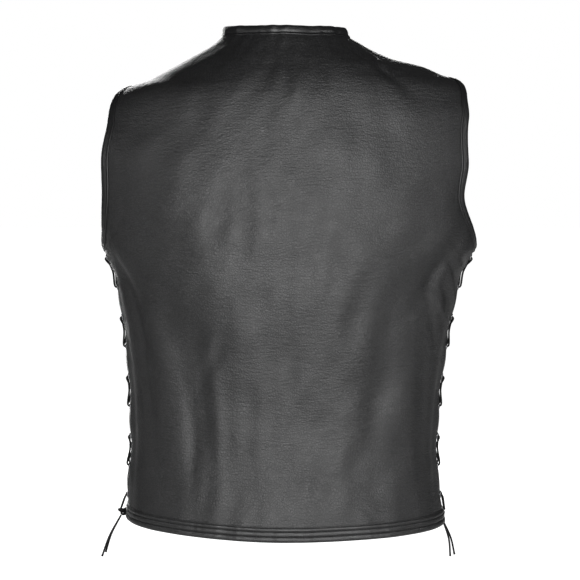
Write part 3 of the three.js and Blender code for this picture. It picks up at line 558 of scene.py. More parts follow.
def buildGrain():
    # pebbles from the distance to scattered cells, broken up by noise and by fine level wrinkles; it also
    # gives the mask between the pebbles where painted shade goes into the colour
    tree = bpy.data.node_groups.new("leather grain", "ShaderNodeTree")
    groupSockets(tree, "INPUT", ["Vector"], "NodeSocketVector")
    groupSockets(tree, "INPUT", ["Pebbles", "Wrinkles", "Patches"])
    groupSockets(tree, "OUTPUT", ["Height", "ValleyShade", "Patch"])
    nodes, links = tree.nodes, tree.links
    start, end = nodes.new("NodeGroupInput"), nodes.new("NodeGroupOutput")

    def feed(socket, value):
        if isinstance(value, (int, float)):
            socket.default_value = value
        else:
            links.new(value, socket)

    def math(kind, *values, clamp=False):
        node = nodes.new("ShaderNodeMath")
        node.operation, node.use_clamp = kind, clamp
        for socket, value in zip(node.inputs, values):
            feed(socket, value)
        return node.outputs[0]

    def noise(vector, scale, look):
        node = nodes.new("ShaderNodeTexNoise")
        links.new(vector, node.inputs["Vector"])
        feed(node.inputs["Scale"], scale)
        feed(node.inputs["Detail"], look["detail"])
        feed(node.inputs["Roughness"], look.get("roughness", 0.5))
        return node

    place = start.outputs["Vector"]
    warp = noise(place, pattern["warp"]["scale"], pattern["warp"])
    shifted = nodes.new("ShaderNodeVectorMath")
    shifted.operation = "MULTIPLY_ADD"
    shifted.inputs[1].default_value = (pattern["warp"]["shift"],) * 3
    links.new(warp.outputs["Color"], shifted.inputs[0])
    links.new(place, shifted.inputs[2])

    look = pattern["pebble"]
    cells = nodes.new("ShaderNodeTexVoronoi")
    cells.feature = "DISTANCE_TO_EDGE"
    links.new(shifted.outputs[0], cells.inputs["Vector"])
    links.new(start.outputs["Pebbles"], cells.inputs["Scale"])
    pebble = math("SMOOTH_MIN", cells.outputs["Distance"], look["flatFrom"], look["rounding"])
    pebble = math("MULTIPLY", pebble, look["steepness"])

    stretch = nodes.new("ShaderNodeMapping")
    stretch.inputs["Scale"].default_value = pattern["lines"]["stretch"]
    links.new(place, stretch.inputs["Vector"])
    lines = noise(stretch.outputs[0], start.outputs["Wrinkles"], pattern["lines"])
    patch = noise(place, start.outputs["Patches"], pattern["patch"])
    mottle = noise(shifted.outputs[0], pattern["mottle"]["scale"], pattern["mottle"])

    mixed = math(
        "ADD",
        math("MULTIPLY", patch.outputs["Fac"], pattern["patch"]["share"]),
        math("MULTIPLY", mottle.outputs["Fac"], pattern["mottle"]["share"]),
    )
    height = math(
        "ADD",
        math("MULTIPLY", pebble, pattern["pebble"]["height"]),
        math("MULTIPLY", lines.outputs["Fac"], pattern["lines"]["height"]),
    )
    height = math("ADD", height, math("MULTIPLY", mottle.outputs["Fac"], pattern["mottle"]["height"]))
    links.new(height, end.inputs["Height"])
    # the valley mask, 1 between the pebbles: where the finish paints shade into the colour
    links.new(math("SUBTRACT", 1.0, pebble, clamp=True), end.inputs["ValleyShade"])
    links.new(mixed, end.inputs["Patch"])
    return tree


def finish(name, look, base):
    # a principled surface whose roughness and bump come from the shared grain, and whose colour is a random
    # tone darkened with painted shade between the pebbles
    material = bpy.data.materials.new(name)
    material.use_nodes = True
    nodes, links = material.node_tree.nodes, material.node_tree.links
    surface = nodes["Principled BSDF"]
    place = nodes.new("ShaderNodeTexCoord")
    effect = nodes.new("ShaderNodeGroup")
    effect.node_tree = base
    links.new(place.outputs["Object"], effect.inputs["Vector"])
    for key in ("Pebbles", "Wrinkles", "Patches"):
        effect.inputs[key].default_value = look[key]
    tone = nodes.new("ShaderNodeMix")
    tone.data_type = "RGBA"
    tone.inputs["A"].default_value = (*look["dark"], 1)
    tone.inputs["B"].default_value = (*look["light"], 1)
    links.new(effect.outputs["Patch"], tone.inputs["Factor"])
    # painted shade: the tone is multiplied by the look's valley colour between the pebbles
    shade = nodes.new("ShaderNodeMix")
    shade.data_type = "RGBA"
    shade.blend_type = "MULTIPLY"
    shade.inputs["B"].default_value = (*look["valley"], 1)
    links.new(tone.outputs["Result"], shade.inputs["A"])
    links.new(effect.outputs["ValleyShade"], shade.inputs["Factor"])
    links.new(shade.outputs["Result"], surface.inputs["Base Color"])
    rough = nodes.new("ShaderNodeMapRange")
    links.new(effect.outputs["Patch"], rough.inputs["Value"])
    rough.inputs["From Min"].default_value, rough.inputs["From Max"].default_value = pattern["patch"]["range"]
    rough.inputs["To Min"].default_value, rough.inputs["To Max"].default_value = look["rough"]
    links.new(rough.outputs["Result"], surface.inputs["Roughness"])
    bump = nodes.new("ShaderNodeBump")
    bump.inputs["Strength"].default_value = look["strength"]
    bump.inputs["Distance"].default_value = look["depth"] * metre
    links.new(effect.outputs["Height"], bump.inputs["Height"])
    links.new(bump.outputs["Normal"], surface.inputs["Normal"])
    surface.inputs["Metallic"].default_value = look.get("metallic", 0.0)
    surface.inputs["Specular IOR Level"].default_value = look.get("specular", 0.5)
    return material


# dark and light bound each look's random tone; valley is the painted shade colour multiplied in between the
# pebbles
looks = {
    "leather": {
        "Pebbles": 320, "Wrinkles": 200, "Patches": 9,
        "dark": (0.008, 0.008, 0.0083), "light": (0.026, 0.026, 0.0265), "valley": (0.25, 0.25, 0.26),
        "rough": (0.54, 0.4), "strength": 0.85, "depth": 0.5,
    },
    "suede": {
        "Pebbles": 900, "Wrinkles": 700, "Patches": 16,
        "dark": (0.016, 0.016, 0.016), "light": (0.03, 0.03, 0.03), "valley": (0.7, 0.7, 0.7),
        "rough": (0.86, 0.96), "strength": 0.5, "depth": 0.5,
    },
    "binding": {
        "Pebbles": 520, "Wrinkles": 240, "Patches": 22,
        "dark": (0.005, 0.005, 0.0055), "light": (0.01, 0.01, 0.0105), "valley": (0.6, 0.6, 0.6),
        "rough": (0.34, 0.44), "strength": 0.45, "depth": 0.4,
    },
    "hem": {
        "Pebbles": 380, "Wrinkles": 220, "Patches": 14,
        "dark": (0.012, 0.012, 0.0123), "light": (0.028, 0.028, 0.0285), "valley": (0.35, 0.35, 0.36),
        "rough": (0.46, 0.38), "strength": 0.6, "depth": 0.4,
    },
    "thread": {
        "Pebbles": 2400, "Wrinkles": 2600, "Patches": 60,
        "dark": (0.003, 0.003, 0.003), "light": (0.007, 0.007, 0.007), "valley": (0.6, 0.6, 0.6),
        "rough": (0.6, 0.75), "strength": 0.5, "depth": 0.15,
    },
    "lace": {
        "Pebbles": 1300, "Wrinkles": 900, "Patches": 50,
        "dark": (0.003, 0.003, 0.0032), "light": (0.006, 0.006, 0.0065), "valley": (0.6, 0.6, 0.6),
        "rough": (0.62, 0.76), "strength": 0.5, "depth": 0.2,
        "specular": 0.25,
    },
    "metal": {
        "Pebbles": 700, "Wrinkles": 1200, "Patches": 120,
        "dark": (0.24, 0.24, 0.25), "light": (0.38, 0.38, 0.39), "valley": (0.9, 0.9, 0.9),
        "rough": (0.16, 0.32), "strength": 0.12, "depth": 0.1, "metallic": 1.0,
    },
}
grain = buildGrain()
finishes = {name: finish(name, look, grain) for name, look in looks.items()}
for piece in laceEndPieces:
    piece.data.materials.append(finishes["lace"])
print("materials made:", ", ".join(finishes))


panel = {
    "hemRows": 8,
    "pitchRows": 12,
    "underarmRows": 7,
    "armholeRows": 68,
    "ridgeRows": 40,
    "backColumns": 84,
    "frontColumns": 74,
    "beside": [0, 0.12, 0.4, 0.9, 1.8, 3.4, 5.2, 10.8, 13.4, 15, 16, 17, 18.6, 22],  # from the edge
    "holeFrom": 6,  # the eyelet holes lie between two of these columns
    "hole": 2.8,
    "foldWidth": 16,
    "foldRise": 0.45,
    "sewn": 16,
    "sewnDepth": 0.5,
    "roll": 0.8,
    "rollShare": 0.94,
    "foldEnd": (0.6, 3.4),  # the turned-in leather thins out over this stretch past its width
    "sewnWidth": 1.5,
    "clearOfHem": (18, 26),  # above the hem's edge, where folded edges set in
    "closeBy": 4,  # below the end of the side seam
    "lastRows": [0.5, 0.22, 0.08],  # shares of a row, crowded before the tip of the shoulder
    "rowPitch": 4,  # about, near the shoulder seam
    "seamSamples": 400,
}
frontEdge = {
    "beside": [0, 0.12, 0.4, 0.9, 1.8, 3.4, 5.2, 6, 7, 9, 12],  # from the edge
    "doubled": (7, 9.5),
    "rise": 0.3,
    "sewn": 6,
    "sewnWidth": 1.3,
    "sewnDepth": 0.4,
    "fade": (16, 4),  # below the bottom of the V
}


def sideLevels(side):
    # heights up the side, with one cell of the grid at each eyelet
    low = edges["hemSide"][sideName(side)]
    hole, levels = panel["hole"], []
    levels.append(np.linspace(low, eyelets["bottom"] - hole, panel["hemRows"], endpoint=False))
    for height in eyeletHeights[::-1]:
        above = height + eyeletPitch - hole if height < eyelets["top"] - 1 else edges["underarm"]
        count = panel["pitchRows"] if height < eyelets["top"] - 1 else panel["underarmRows"]
        levels.append([height - hole])
        levels.append(np.linspace(height + hole, above, count, endpoint=False))
    return np.concatenate([*levels, [edges["underarm"]]])


def holeRows():
    step = panel["pitchRows"] + 1
    return panel["hemRows"] + step * np.arange(eyelets["rows"])


def armholeCurve(side, facing, turn):
    # height on a cosine from the underarm to the tip of the shoulder, depth = reach * sin(turn)^bow
    tip = edges["shoulderTip"][sideName(side)]
    reach = edges["armholeBack" if facing > 0 else "armholeFront"]
    low, gap = edges["underarm"], edges["seamGap"]
    height = (low + tip) / 2 - (tip - low) / 2 * np.cos(turn)
    depth = gap + (reach - gap) * np.maximum(np.sin(turn), 0) ** edges["armholeBow"]
    return height, angleAtDepth(side, height, facing * depth)


def crowdedTurns():
    share = np.linspace(0, 1, panel["armholeRows"] + 1)[1:]
    step = share[1] - share[0]
    return np.pi * np.r_[share[:-1], 1 - step * np.array(panel["lastRows"]), 1]


def outerEdge(side, facing):
    low = sideLevels(side)
    sideAngle = angleAtDepth(side, low, facing * halfGap(low))
    height, angle = armholeCurve(side, facing, crowdedTurns())
    return np.r_[low, height], np.r_[sideAngle, angle]


def evenRidge(side, count):
    # heights from the tip of the shoulder to the neck, evenly spaced along the slope
    name = sideName(side)
    height = np.linspace(edges["shoulderTip"][name], edges["neckPoint"][name], panel["seamSamples"])
    width = ringSize(name, height)
    run = np.r_[0, np.cumsum(np.hypot(np.diff(height), np.diff(width)))]
    return np.interp(np.linspace(0, run[-1], count + 1)[1:], run, height)


def acrossPanel(inner, outer, innerBeside, count):
    # places from the inner to the outer edge of each row, close together beside the edges
    (innerHeight, innerAngle), (outerHeight, outerAngle) = inner, outer
    perDegree = np.linalg.norm(surfaceSteps(outerHeight, outerAngle)[1], axis=-1)
    ends = ringPoint(innerHeight, innerAngle) - ringPoint(outerHeight, outerAngle)
    length = np.maximum(perDegree * np.abs(innerAngle - outerAngle), np.linalg.norm(ends, axis=-1))[:, None]
    beside = np.array(panel["beside"])[None] / length
    innerSide = 1 - np.array(innerBeside)[None] / length if len(innerBeside) else np.ones((len(length), 1))
    middle = mix(beside[:, -1:], innerSide[:, -1:], np.linspace(0, 1, count + 1)[None, 1:-1])
    share = np.concatenate([beside, middle, innerSide[:, ::-1]], 1)  # 0 on the outer edge
    angle = mix(outerAngle[:, None], innerAngle[:, None], share)
    height = mix(outerHeight[:, None], innerHeight[:, None], ease(share, 0, 1))
    return height, angle, share * length


def hemmed(height, angle, low):
    # the bottom row follows the hem's own line, and the rows above give way to it
    climb = np.clip((height[:, :1] - height[0, 0]) / (low - height[0, 0]), 0, 1)
    return height + (hemHeight(angle[0]) - height[0])[None] * (1 - climb)


def rollOff(distance):
    # a quarter of a circle at an edge: radius * (1 - sqrt(1 - (1 - d / radius)^2))
    radius = panel["roll"]
    t = np.clip(1 - distance / radius, 0, 1)
    return radius * (1 - np.sqrt(np.maximum(1 - t * t, 0))) * panel["rollShare"]


def aboveHem(height, angle):
    # 0 behind the band of the hem, 1 above it
    hem, (low, high) = hemHeight(angle), panel["clearOfHem"]
    return ease(height, hem + low, hem + high)


def edgeForm(distance, height, angle):
    # the leather is turned in and sewn along a free edge: doubled, with a soft valley at the row of sewing
    low, high = panel["foldEnd"]
    doubled = 1 - ease(distance, panel["foldWidth"] + low, panel["foldWidth"] + high)
    valley = np.exp(-(((distance - panel["sewn"]) / panel["sewnWidth"]) ** 2))
    free = aboveHem(height, angle) * (1 - ease(height, edges["opensBy"] - panel["closeBy"], edges["seamEnd"]))
    rise = panel["foldRise"] * doubled
    return free * (rise - panel["sewnDepth"] * valley), free * rise


def panelShell(height, angle, rise, fall, roll):
    outer = skin(height, angle, rise - roll)
    inner = skin(height, angle, -wall - fall + roll)
    return outer, inner


def climbShare(low):
    return (low - low[0]) / (low[-1] - low[0])


def backHalf(side):
    outerHeight, outerAngle = outerEdge(side, 1)
    ridge = evenRidge(side, panel["ridgeRows"])
    outerHeight = np.r_[outerHeight, ridge]
    outerAngle = np.r_[outerAngle, angleAtDepth(side, ridge, edges["seamGap"])]
    low = sideLevels(side)
    rest = len(outerHeight) - len(low) + 1
    centre = np.r_[
        mix(edges["hemBack"], edges["backLevel"], climbShare(low)),
        np.linspace(edges["backLevel"], edges["neckBack"], rest)[1:],
    ]
    height, angle, distance = acrossPanel(
        (centre, 0 * centre), (outerHeight, outerAngle), [], panel["backColumns"],
    )
    return hemmed(height, angle, edges["underarm"]), angle, distance


def buildBack():
    parts = [backHalf(left), backHalf(right)]
    height, angle, distance = (np.concatenate([b[:, :-1], a[:, ::-1]], 1) for a, b in zip(*parts))
    rise, fall = edgeForm(distance, height, angle)
    outer, inner = panelShell(height, angle, rise, fall, rollOff(distance))
    keep = np.ones((height.shape[0] - 1, height.shape[1] - 1), bool)
    for column in (panel["holeFrom"], height.shape[1] - 2 - panel["holeFrom"]):
        keep[holeRows(), column] = False
    return shellMesh(outer, inner, keep)


def innerEdge(side):
    # up the centre front, then up the V: width = mix(-lap, neck width, climb^bow)
    name = sideName(side)
    height = mix(edges["hemFront"], edges["veeBottom"], climbShare(sideLevels(side)))
    angle = frontAngle(side, height, -side * edges["frontLap"] + 0 * height)
    climb = (1 - np.cos(crowdedTurns())) / 2
    vee = mix(edges["veeBottom"], edges["neckPoint"][name], climb)
    neckWidth = ringSize(name, np.array(edges["neckPoint"][name]))
    width = mix(-edges["frontLap"], neckWidth, climb ** edges["veeBow"])
    veeAngle = frontAngle(side, vee, side * width)
    veeAngle[-1] = angleAtDepth(side, vee[-1], -edges["seamGap"])
    return np.r_[height, vee], np.r_[angle, veeAngle]


def buildFront(side):
    inner, outer = innerEdge(side), outerEdge(side, -1)
    height, angle, distance = acrossPanel(inner, outer, frontEdge["beside"], panel["frontColumns"])
    height = hemmed(height, angle, edges["underarm"])
    toInner = distance[:, -1:] - distance
    rise, fall = edgeForm(distance, height, angle)
    low, high = frontEdge["fade"]
    centre = aboveHem(height, angle) * (1 - ease(height, edges["veeBottom"] - low, edges["veeBottom"] - high))
    doubled = 1 - ease(toInner, *frontEdge["doubled"])
    valley = np.exp(-(((toInner - frontEdge["sewn"]) / frontEdge["sewnWidth"]) ** 2))
    rise = rise + centre * (frontEdge["rise"] * doubled - frontEdge["sewnDepth"] * valley)
    toSeam = panel["rowPitch"] * (1 - crowdedTurns() / np.pi) * panel["armholeRows"]
    toSeam = np.r_[np.full(len(sideLevels(side)), np.inf), toSeam][:, None]
    roll = rollOff(np.minimum(np.minimum(distance, toInner), toSeam))
    keep = np.ones((height.shape[0] - 1, height.shape[1] - 1), bool)
    keep[holeRows(), panel["holeFrom"]] = False
    return shellMesh(*panelShell(height, angle, rise, fall, roll), keep)


backPiece = makePiece(
    "backPanel", buildBack(), finishes["leather"], ["back"], inside=finishes["suede"],
)
frontPieces = {
    name: makePiece(
        f"frontPanel_{name}", buildFront(side), finishes["leather"], [f"front_{name}"],
        inside=finishes["suede"],
    )
    for name, side in sides.items()
}


# The cut face of each strip: how far in from the edge, and how high off the panel's outer face
strips = {
    "step": 1.9,  # along the strip
    "puckerWaves": [(8.3, 0.4), (12.7, 2.1), (19.4, 4.0)],  # length and phase
    "proud": (1.4, 1.2),  # puckers set in this far off the middle of the leather, and grow over this
    "under": -0.7,  # the hidden side reaches this far round the edge
    "samples": {"armhole": 240, "vee": 160, "neck": 80, "hemBack": 300, "hemFront": 200},
    "binding": {
        "face": [
            (11, 0.06), (11, 0.7), (10.6, 1.2), (10, 1.4), (9.2, 1.32), (8.6, 1.12),
            (8, 0.95), (7.4, 1.12), (6.4, 1.62), (5, 2.05), (3.4, 2.15), (1.6, 2),
            (0.2, 1.65), (-1, 1), (-1.7, 0.2), (-1.9, -0.8), (-1.7, -1.8), (-1, -2.6),
            (0.2, -3.2), (2.5, -3.45), (5, -3.4), (7, -3), (8, -2.7), (9, -2.95),
            (10.2, -2.9), (10.9, -2.4), (10.9, -1.68),
        ],
        "sewn": [8.0],
        "puckers": 0.05,
    },
    "hem": {
        "face": [
            (17.6, 0.06), (17.6, 0.7), (17.2, 1.1), (16.6, 0.95), (16.1, 1.35), (15.5, 1.8),
            (14.3, 2), (13.1, 1.85), (12.5, 1.45), (11.9, 1.05), (11.4, 1.45), (10.7, 1.95),
            (8.9, 2.15), (7.1, 1.95), (6.4, 1.5), (5.8, 1.05), (5.3, 1.5), (4.5, 2.05),
            (2.6, 2.3), (1, 2.15), (-0.3, 1.5), (-1.2, 0.5), (-1.6, -0.8), (-1.2, -2.1),
            (-0.2, -2.9), (2, -3.2), (6, -3.1), (10, -3.15), (14, -3.1), (16.6, -2.8),
            (17.2, -2.5), (17.4, -1.68),
        ],
        "sewn": [16.6, 11.9, 5.8],
        "puckers": 0.09,
    },
}


def evenly(height, angle, step, closed=False):
    # the same line of places, at equal distances along the form
    if closed:
        height, angle = np.r_[height, height[:1]], np.r_[angle, angle[:1]]
    run = runLength(ringPoint(height, angle))
    count = max(int(round(run[-1] / step)), 4)
    at = np.linspace(0, run[-1], count + 1)
    if closed:
        at = at[:-1]
    return np.interp(at, run, height), np.interp(at, run, angle)


def movedIn(height, angle, inset, inward, closed=False):
    # a step square to the line and along the form, turned into height and angle through the form's own steps
    point = ringPoint(height, angle)
    if closed:
        run = np.roll(point, -1, 0) - np.roll(point, 1, 0)
    else:
        run = np.gradient(point, axis=0)
    up, around, normal = surfaceSteps(height, angle)
    way = unit(np.cross(normal, unit(run))) * inward
    dot = lambda a, b: np.einsum("ij,ij->i", a, b)
    uu, ur, rr = dot(up, up), dot(up, around), dot(around, around)
    wu, wr = dot(way, up), dot(way, around)
    area = uu * rr - ur * ur
    inset = np.asarray(inset, float)[None]
    return (
        height[:, None] + inset * ((wu * rr - wr * ur) / area)[:, None],
        angle[:, None] + inset * ((wr * uu - wu * ur) / area)[:, None],
    )


def stripMesh(height, angle, inward, shape, closed=False):
    # the cut face of the strip carried along the edge, with small uneven puckers between the stitches
    inset, lift = np.array(shape["face"], float).T
    t = np.arange(len(inset))
    fine = np.linspace(0, t[-1], 2 * t[-1] + 1)
    inset, lift = smoothColumn(t, inset, fine), smoothColumn(t, lift, fine)
    run = np.arange(len(height)) * strips["step"]
    pucker = sum(np.sin(2 * np.pi * run / length + phase) for length, phase in strips["puckerWaves"])
    offMiddle, (proudFrom, proudMost) = lift + wall / 2, strips["proud"]
    proud = np.clip(np.abs(offMiddle) - proudFrom, 0, proudMost)
    outerLift = lift[None] + np.sign(offMiddle) * shape["puckers"] * pucker[:, None] * proud[None]
    places = movedIn(height, angle, inset, inward, closed)
    outer = skin(*places, outerLift)
    under = movedIn(height, angle, np.maximum(inset, strips["under"]), inward, closed)
    inner = skin(*under, np.clip(lift, -wall - 0.05, 0.05)[None])
    return shellMesh(outer, inner, wrapRows=closed)


def armholeLine(side):
    turn = np.linspace(0, np.pi, strips["samples"]["armhole"])
    behind = armholeCurve(side, 1, turn)
    before = armholeCurve(side, -1, turn[::-1])
    line = [np.r_[b[1:-1], f[1:-1]] for b, f in zip(behind, before)]
    return evenly(*line, strips["step"], closed=True)


def neckLine():
    # up the left V, round behind the neck and down the right V
    def vee(side):
        name = sideName(side)
        climb = np.linspace(0, 1, strips["samples"]["vee"])
        height = mix(edges["veeBottom"], edges["neckPoint"][name], climb)
        neckWidth = ringSize(name, np.array(float(edges["neckPoint"][name])))
        width = mix(-edges["frontLap"], neckWidth, climb ** edges["veeBow"])
        return height[:-1], frontAngle(side, height[:-1], side * width[:-1])

    def behind(side):
        t = np.linspace(1, 0, strips["samples"]["neck"])
        height = mix(edges["neckBack"], edges["neckPoint"][sideName(side)], t * t)
        return height, side * 90 * t ** edges["neckBow"]

    (lh, la), (rh, ra) = vee(left), vee(right)
    (bh, ba), (ch, ca) = behind(left), behind(right)
    height = np.r_[lh, bh, ch[::-1][1:], rh[::-1]]
    angle = np.r_[la, ba, ca[::-1][1:], ra[::-1]]
    height, angle = evenly(height, angle, strips["step"])
    soft = np.ones(7) / 7  # takes the corner off at the shoulder seams
    ends = lambda a: np.r_[a[:3], np.convolve(a, soft, "valid"), a[-3:]]
    return ends(height), ends(angle)


def hemLine(facing, side=None):
    # along the bottom edge, from one side gap to the other or to the front edge
    def sideAngle(which):
        height = np.array(float(edges["hemSide"][sideName(which)]))
        return float(angleAtDepth(which, height, np.array(float(facing * edges["sideGap"]))))

    if facing > 0:
        angle = np.linspace(sideAngle(right), sideAngle(left), strips["samples"]["hemBack"])
    else:
        height, width = np.array(float(edges["hemFront"])), np.array(float(-side * edges["frontLap"]))
        angle = np.linspace(
            sideAngle(side), float(frontAngle(side, height, width)), strips["samples"]["hemFront"],
        )
    return evenly(hemHeight(angle), angle, strips["step"])


stripLines = {
    "armholeBinding_left": (*armholeLine(left), -1, "binding", True, ["armhole_binding_left"]),
    "armholeBinding_right": (*armholeLine(right), 1, "binding", True, ["armhole_binding_right"]),
    "neckBinding": (*neckLine(), -1, "binding", False, ["neck_binding"]),
    "hemBand_back": (*hemLine(1), -1, "hem", False, ["hem_band_back"]),
    "hemBand_frontLeft": (*hemLine(-1, left), -1, "hem", False, ["hem_band_front_left"]),
    "hemBand_frontRight": (*hemLine(-1, right), 1, "hem", False, ["hem_band_front_right"]),
}


for name, (height, angle, inward, kind, closed, nodes) in stripLines.items():
    makePiece(
        name, stripMesh(height, angle, inward, strips[kind], closed),
        finishes[kind], nodes,
    )


sewing = {
    "pitch": 3.5, "stitch": 2.75, "thickness": 0.62, "sides": 4,
    "lookAlong": 0.4,  # the thread's direction is taken this far each way
    "proud": 0.12,  # off the strips' valleys
    "sideProud": 0.1, "sideUnder": 0.05, "onFold": 0.98,
    "frontUnder": 0.1,
    "aboveHem": 19.0, "belowOpening": 3, "belowVee": 15, "step": 2.0,
}
stitchAlong = np.array([-1, -0.72, 0, 0.72, 1])
stitchWidth = np.array([0.35, 0.9, 1, 0.9, 0.35])
stitchSink = np.array([-0.34, 0.0, 0.1, 0.0, -0.34])


def stitchMesh(height, angle, lift, closed=False):
    # short threads along a line of places: rings of four points whose width and depth follow the thread
    line = skin(height, angle, lift)
    if closed:
        line = np.concatenate([line, line[:1]])
    run = runLength(line)
    normals = surfaceSteps(height, angle)[2]
    if closed:
        normals = np.concatenate([normals, normals[:1]])
    count = int(run[-1] / sewing["pitch"])
    middle = (np.arange(count) + 0.5) * run[-1] / count
    at = middle[:, None] + stitchAlong[None] * sewing["stitch"] / 2
    along = lambda values, s: np.stack([np.interp(s, run, values[:, k]) for k in range(3)], -1)
    point, normal = along(line, at), unit(along(normals, at))
    tangent = unit(along(line, at + sewing["lookAlong"]) - along(line, at - sewing["lookAlong"]))
    normal = unit(normal - tangent * np.sum(normal * tangent, -1, keepdims=True))
    across = np.cross(tangent, normal)
    radius = sewing["thickness"] / 2 * stitchWidth
    sideCount = sewing["sides"]
    turn = 2 * np.pi * (np.arange(sideCount) + 0.5) / sideCount
    side = np.sign(np.mean(lift) + wall / 2)  # the thread lies on the face that it shows on
    rings = (
        point[:, :, None] + normal[:, :, None] * (side * stitchSink[None, :, None, None])
        + radius[None, :, None, None] * (
            across[:, :, None] * np.cos(turn)[None, None, :, None]
            + normal[:, :, None] * np.sin(turn)[None, None, :, None]
        )
    )
    levels = len(stitchAlong)
    i, j = (a.ravel() for a in np.meshgrid(np.arange(levels - 1), np.arange(sideCount), indexing="ij"))
    nextSide = (j + 1) % sideCount
    here, there = i * sideCount, (i + 1) * sideCount
    quads = np.c_[here + j, here + nextSide, there + nextSide, there + j]
    caps = np.array([np.arange(sideCount)[::-1], (levels - 1) * sideCount + np.arange(sideCount)])
    quads = np.concatenate([quads, caps])
    faces = (quads[None] + np.arange(count)[:, None, None] * levels * sideCount).reshape(-1, 4)
    return rings.reshape(-1, 3), [faces]


def stripStitches(name):
    # a row of sewing in each valley of the strip, on its outside and again on its inside
    height, angle, inward, kind, closed, _ = stripLines[name]
    shape, made = strips[kind], []
    inset, lift = np.array(shape["face"], float).T
    outside = lift > -wall / 2
    for sewn in shape["sewn"]:
        rowHeight, rowAngle = (a[:, 0] for a in movedIn(height, angle, [sewn], inward, closed))
        top = np.interp(-sewn, -inset[outside], lift[outside])
        low = np.interp(sewn, inset[~outside], lift[~outside])
        made.append(stitchMesh(rowHeight, rowAngle, top + sewing["proud"], closed))
        made.append(stitchMesh(rowHeight, rowAngle, low - sewing["proud"], closed))
    return made


def sideStitches(side, facing):
    # beside the laced edge, where the turned-in leather ends
    low = edges["hemSide"][sideName(side)] + sewing["aboveHem"]
    high = edges["opensBy"] - sewing["belowOpening"]
    height = np.arange(low, high, sewing["step"])
    angle = angleAtDepth(side, height, facing * (halfGap(height) + panel["sewn"]))
    lift = panel["foldRise"] * sewing["onFold"] - panel["sewnDepth"] + sewing["sideProud"]
    under = -wall - panel["foldRise"] - sewing["sideUnder"]
    return [stitchMesh(height, angle, lift), stitchMesh(height, angle, under)]


def frontStitches(side):
    # beside the front edge, below the V
    low, high = edges["hemFront"] + sewing["aboveHem"], edges["veeBottom"] - sewing["belowVee"]
    height = np.arange(low, high, sewing["step"])
    angle = frontAngle(side, height, -side * (edges["frontLap"] - frontEdge["sewn"]) + 0 * height)
    return [stitchMesh(height, angle, 0.0), stitchMesh(height, angle, -wall - sewing["frontUnder"])]


makePiece("sewing_neck", stripStitches("neckBinding"), finishes["thread"])
for name in sides:
    makePiece(
        f"sewing_armhole_{name}", stripStitches(f"armholeBinding_{name}"), finishes["thread"],
    )
makePiece(
    "sewing_hem", [m for name in stripLines if name.startswith("hem") for m in stripStitches(name)],
    finishes["thread"],
)
makePiece(
    "sewing_edges",
    [m for side in sides.values() for facing in (1, -1) for m in sideStitches(side, facing)]
    + [m for side in sides.values() for m in frontStitches(side)],
    finishes["thread"],
)
print("sewing done")


# Outlines of radius and height off the panel's outer face, turned about their own axis
eyeletOutline = [
    (2.2, 1), (2.3, 1.3), (2.7, 1.5), (3.2, 1.48), (3.7, 1.3),
    (4.1, 0.95), (4.2, 0.62), (4.05, 0.42), (3.4, 0.4), (2.6, 0.4),
    (2.6, -2), (3.4, -2), (4.05, -2.02), (4.2, -2.2), (4.1, -2.55),
    (3.7, -2.85), (3.2, -3), (2.7, -3), (2.3, -2.8), (2.2, -2.5),
]


def eyeletPlaces(side, facing):
    angle = angleAtDepth(side, eyeletHeights, facing * (halfGap(eyeletHeights) + eyelets["inset"]))
    return eyeletHeights, angle


for name, side in sides.items():
    height, angle = (np.concatenate(pair) for pair in zip(eyeletPlaces(side, 1), eyeletPlaces(side, -1)))
    centres, normals = skin(height, angle), leatherNormal(height, angle)
    makePiece(
        f"eyelets_{name}", turnedMesh(eyeletOutline, eyelets["segments"], centres, normals),
        finishes["metal"],
        [f"eyelet_{name}_{half}_{row + 1}" for half in ("back", "front") for row in range(eyelets["rows"])],
    )


studs = {
    "heights": [-232.0, -330.0, -428.0, -526.0],
    "segments": 36,
    "outline": [
        (0, 2.75), (2.2, 2.68), (4.2, 2.25), (5.6, 1.55), (6.35, 0.95),
        (6.5, 0.6), (6.35, 0.36), (5.6, 0.3), (1.8, 0.3), (1.8, -7.9),
        (4.7, -7.95), (5, -8.3), (4.9, -8.8), (4.2, -9.15), (2.4, -9.2),
        (0, -9.2),
    ],
}


def addStuds():
    height = np.array(studs["heights"])
    angle = np.full(len(height), 180.0)
    centres, normals = skin(height, angle), leatherNormal(height, angle)
    for k in range(len(height)):
        one = slice(k, k + 1)
        makePiece(
            f"pressStud_{k + 1}", turnedMesh(studs["outline"], studs["segments"], centres[one], normals[one]),
            finishes["metal"], [f"snap_{k + 1}"],
        )


addStuds()
print("eyelets and studs done")


lace = {
    "radius": 1.25, "sides": 12, "step": 1.4, "low": 0.4, "high": 3.2,
    "bend": [(0, 1.2), (1.4, 3.0)],  # along the leather and off it, at a hole
    "endOut": 4, "endUp": 0.8, "endApart": 0.55, "endShort": 0.4,
    "knotPoints": 120, "knotDepth": 0.75, "knotSwell": 1.2,
}
knots = {
    "left": {"centre": (207.5, 0, -598), "size": (9, 6.8, 5.5)},
    "right": {"centre": (200.5, 0, -603), "size": (5, 6.65, 9)},
}


def holePlace(side, facing, height):
    height = np.array(float(height))
    return height, angleAtDepth(side, height, np.array(facing * float(halfGap(height) + eyelets["inset"])))


def outOfHole(place, face, towards):
    # straight through the hole, then over its rim towards the next point
    centre = skin(*place, 0 if face > 0 else -wall)
    normal = leatherNormal(*place) * face
    way = towards - centre
    way = unit(way - normal * np.dot(way, normal))
    return [centre + way * out + normal * up for out, up in lace["bend"]]


def crossing(start, stop, face, lift):
    middle = skin(
        (start[0] + stop[0]) / 2, (start[1] + stop[1]) / 2, lift if face > 0 else -wall - lift
    )
    return [*outOfHole(start, face, middle), middle, *outOfHole(stop, face, middle)[::-1]]


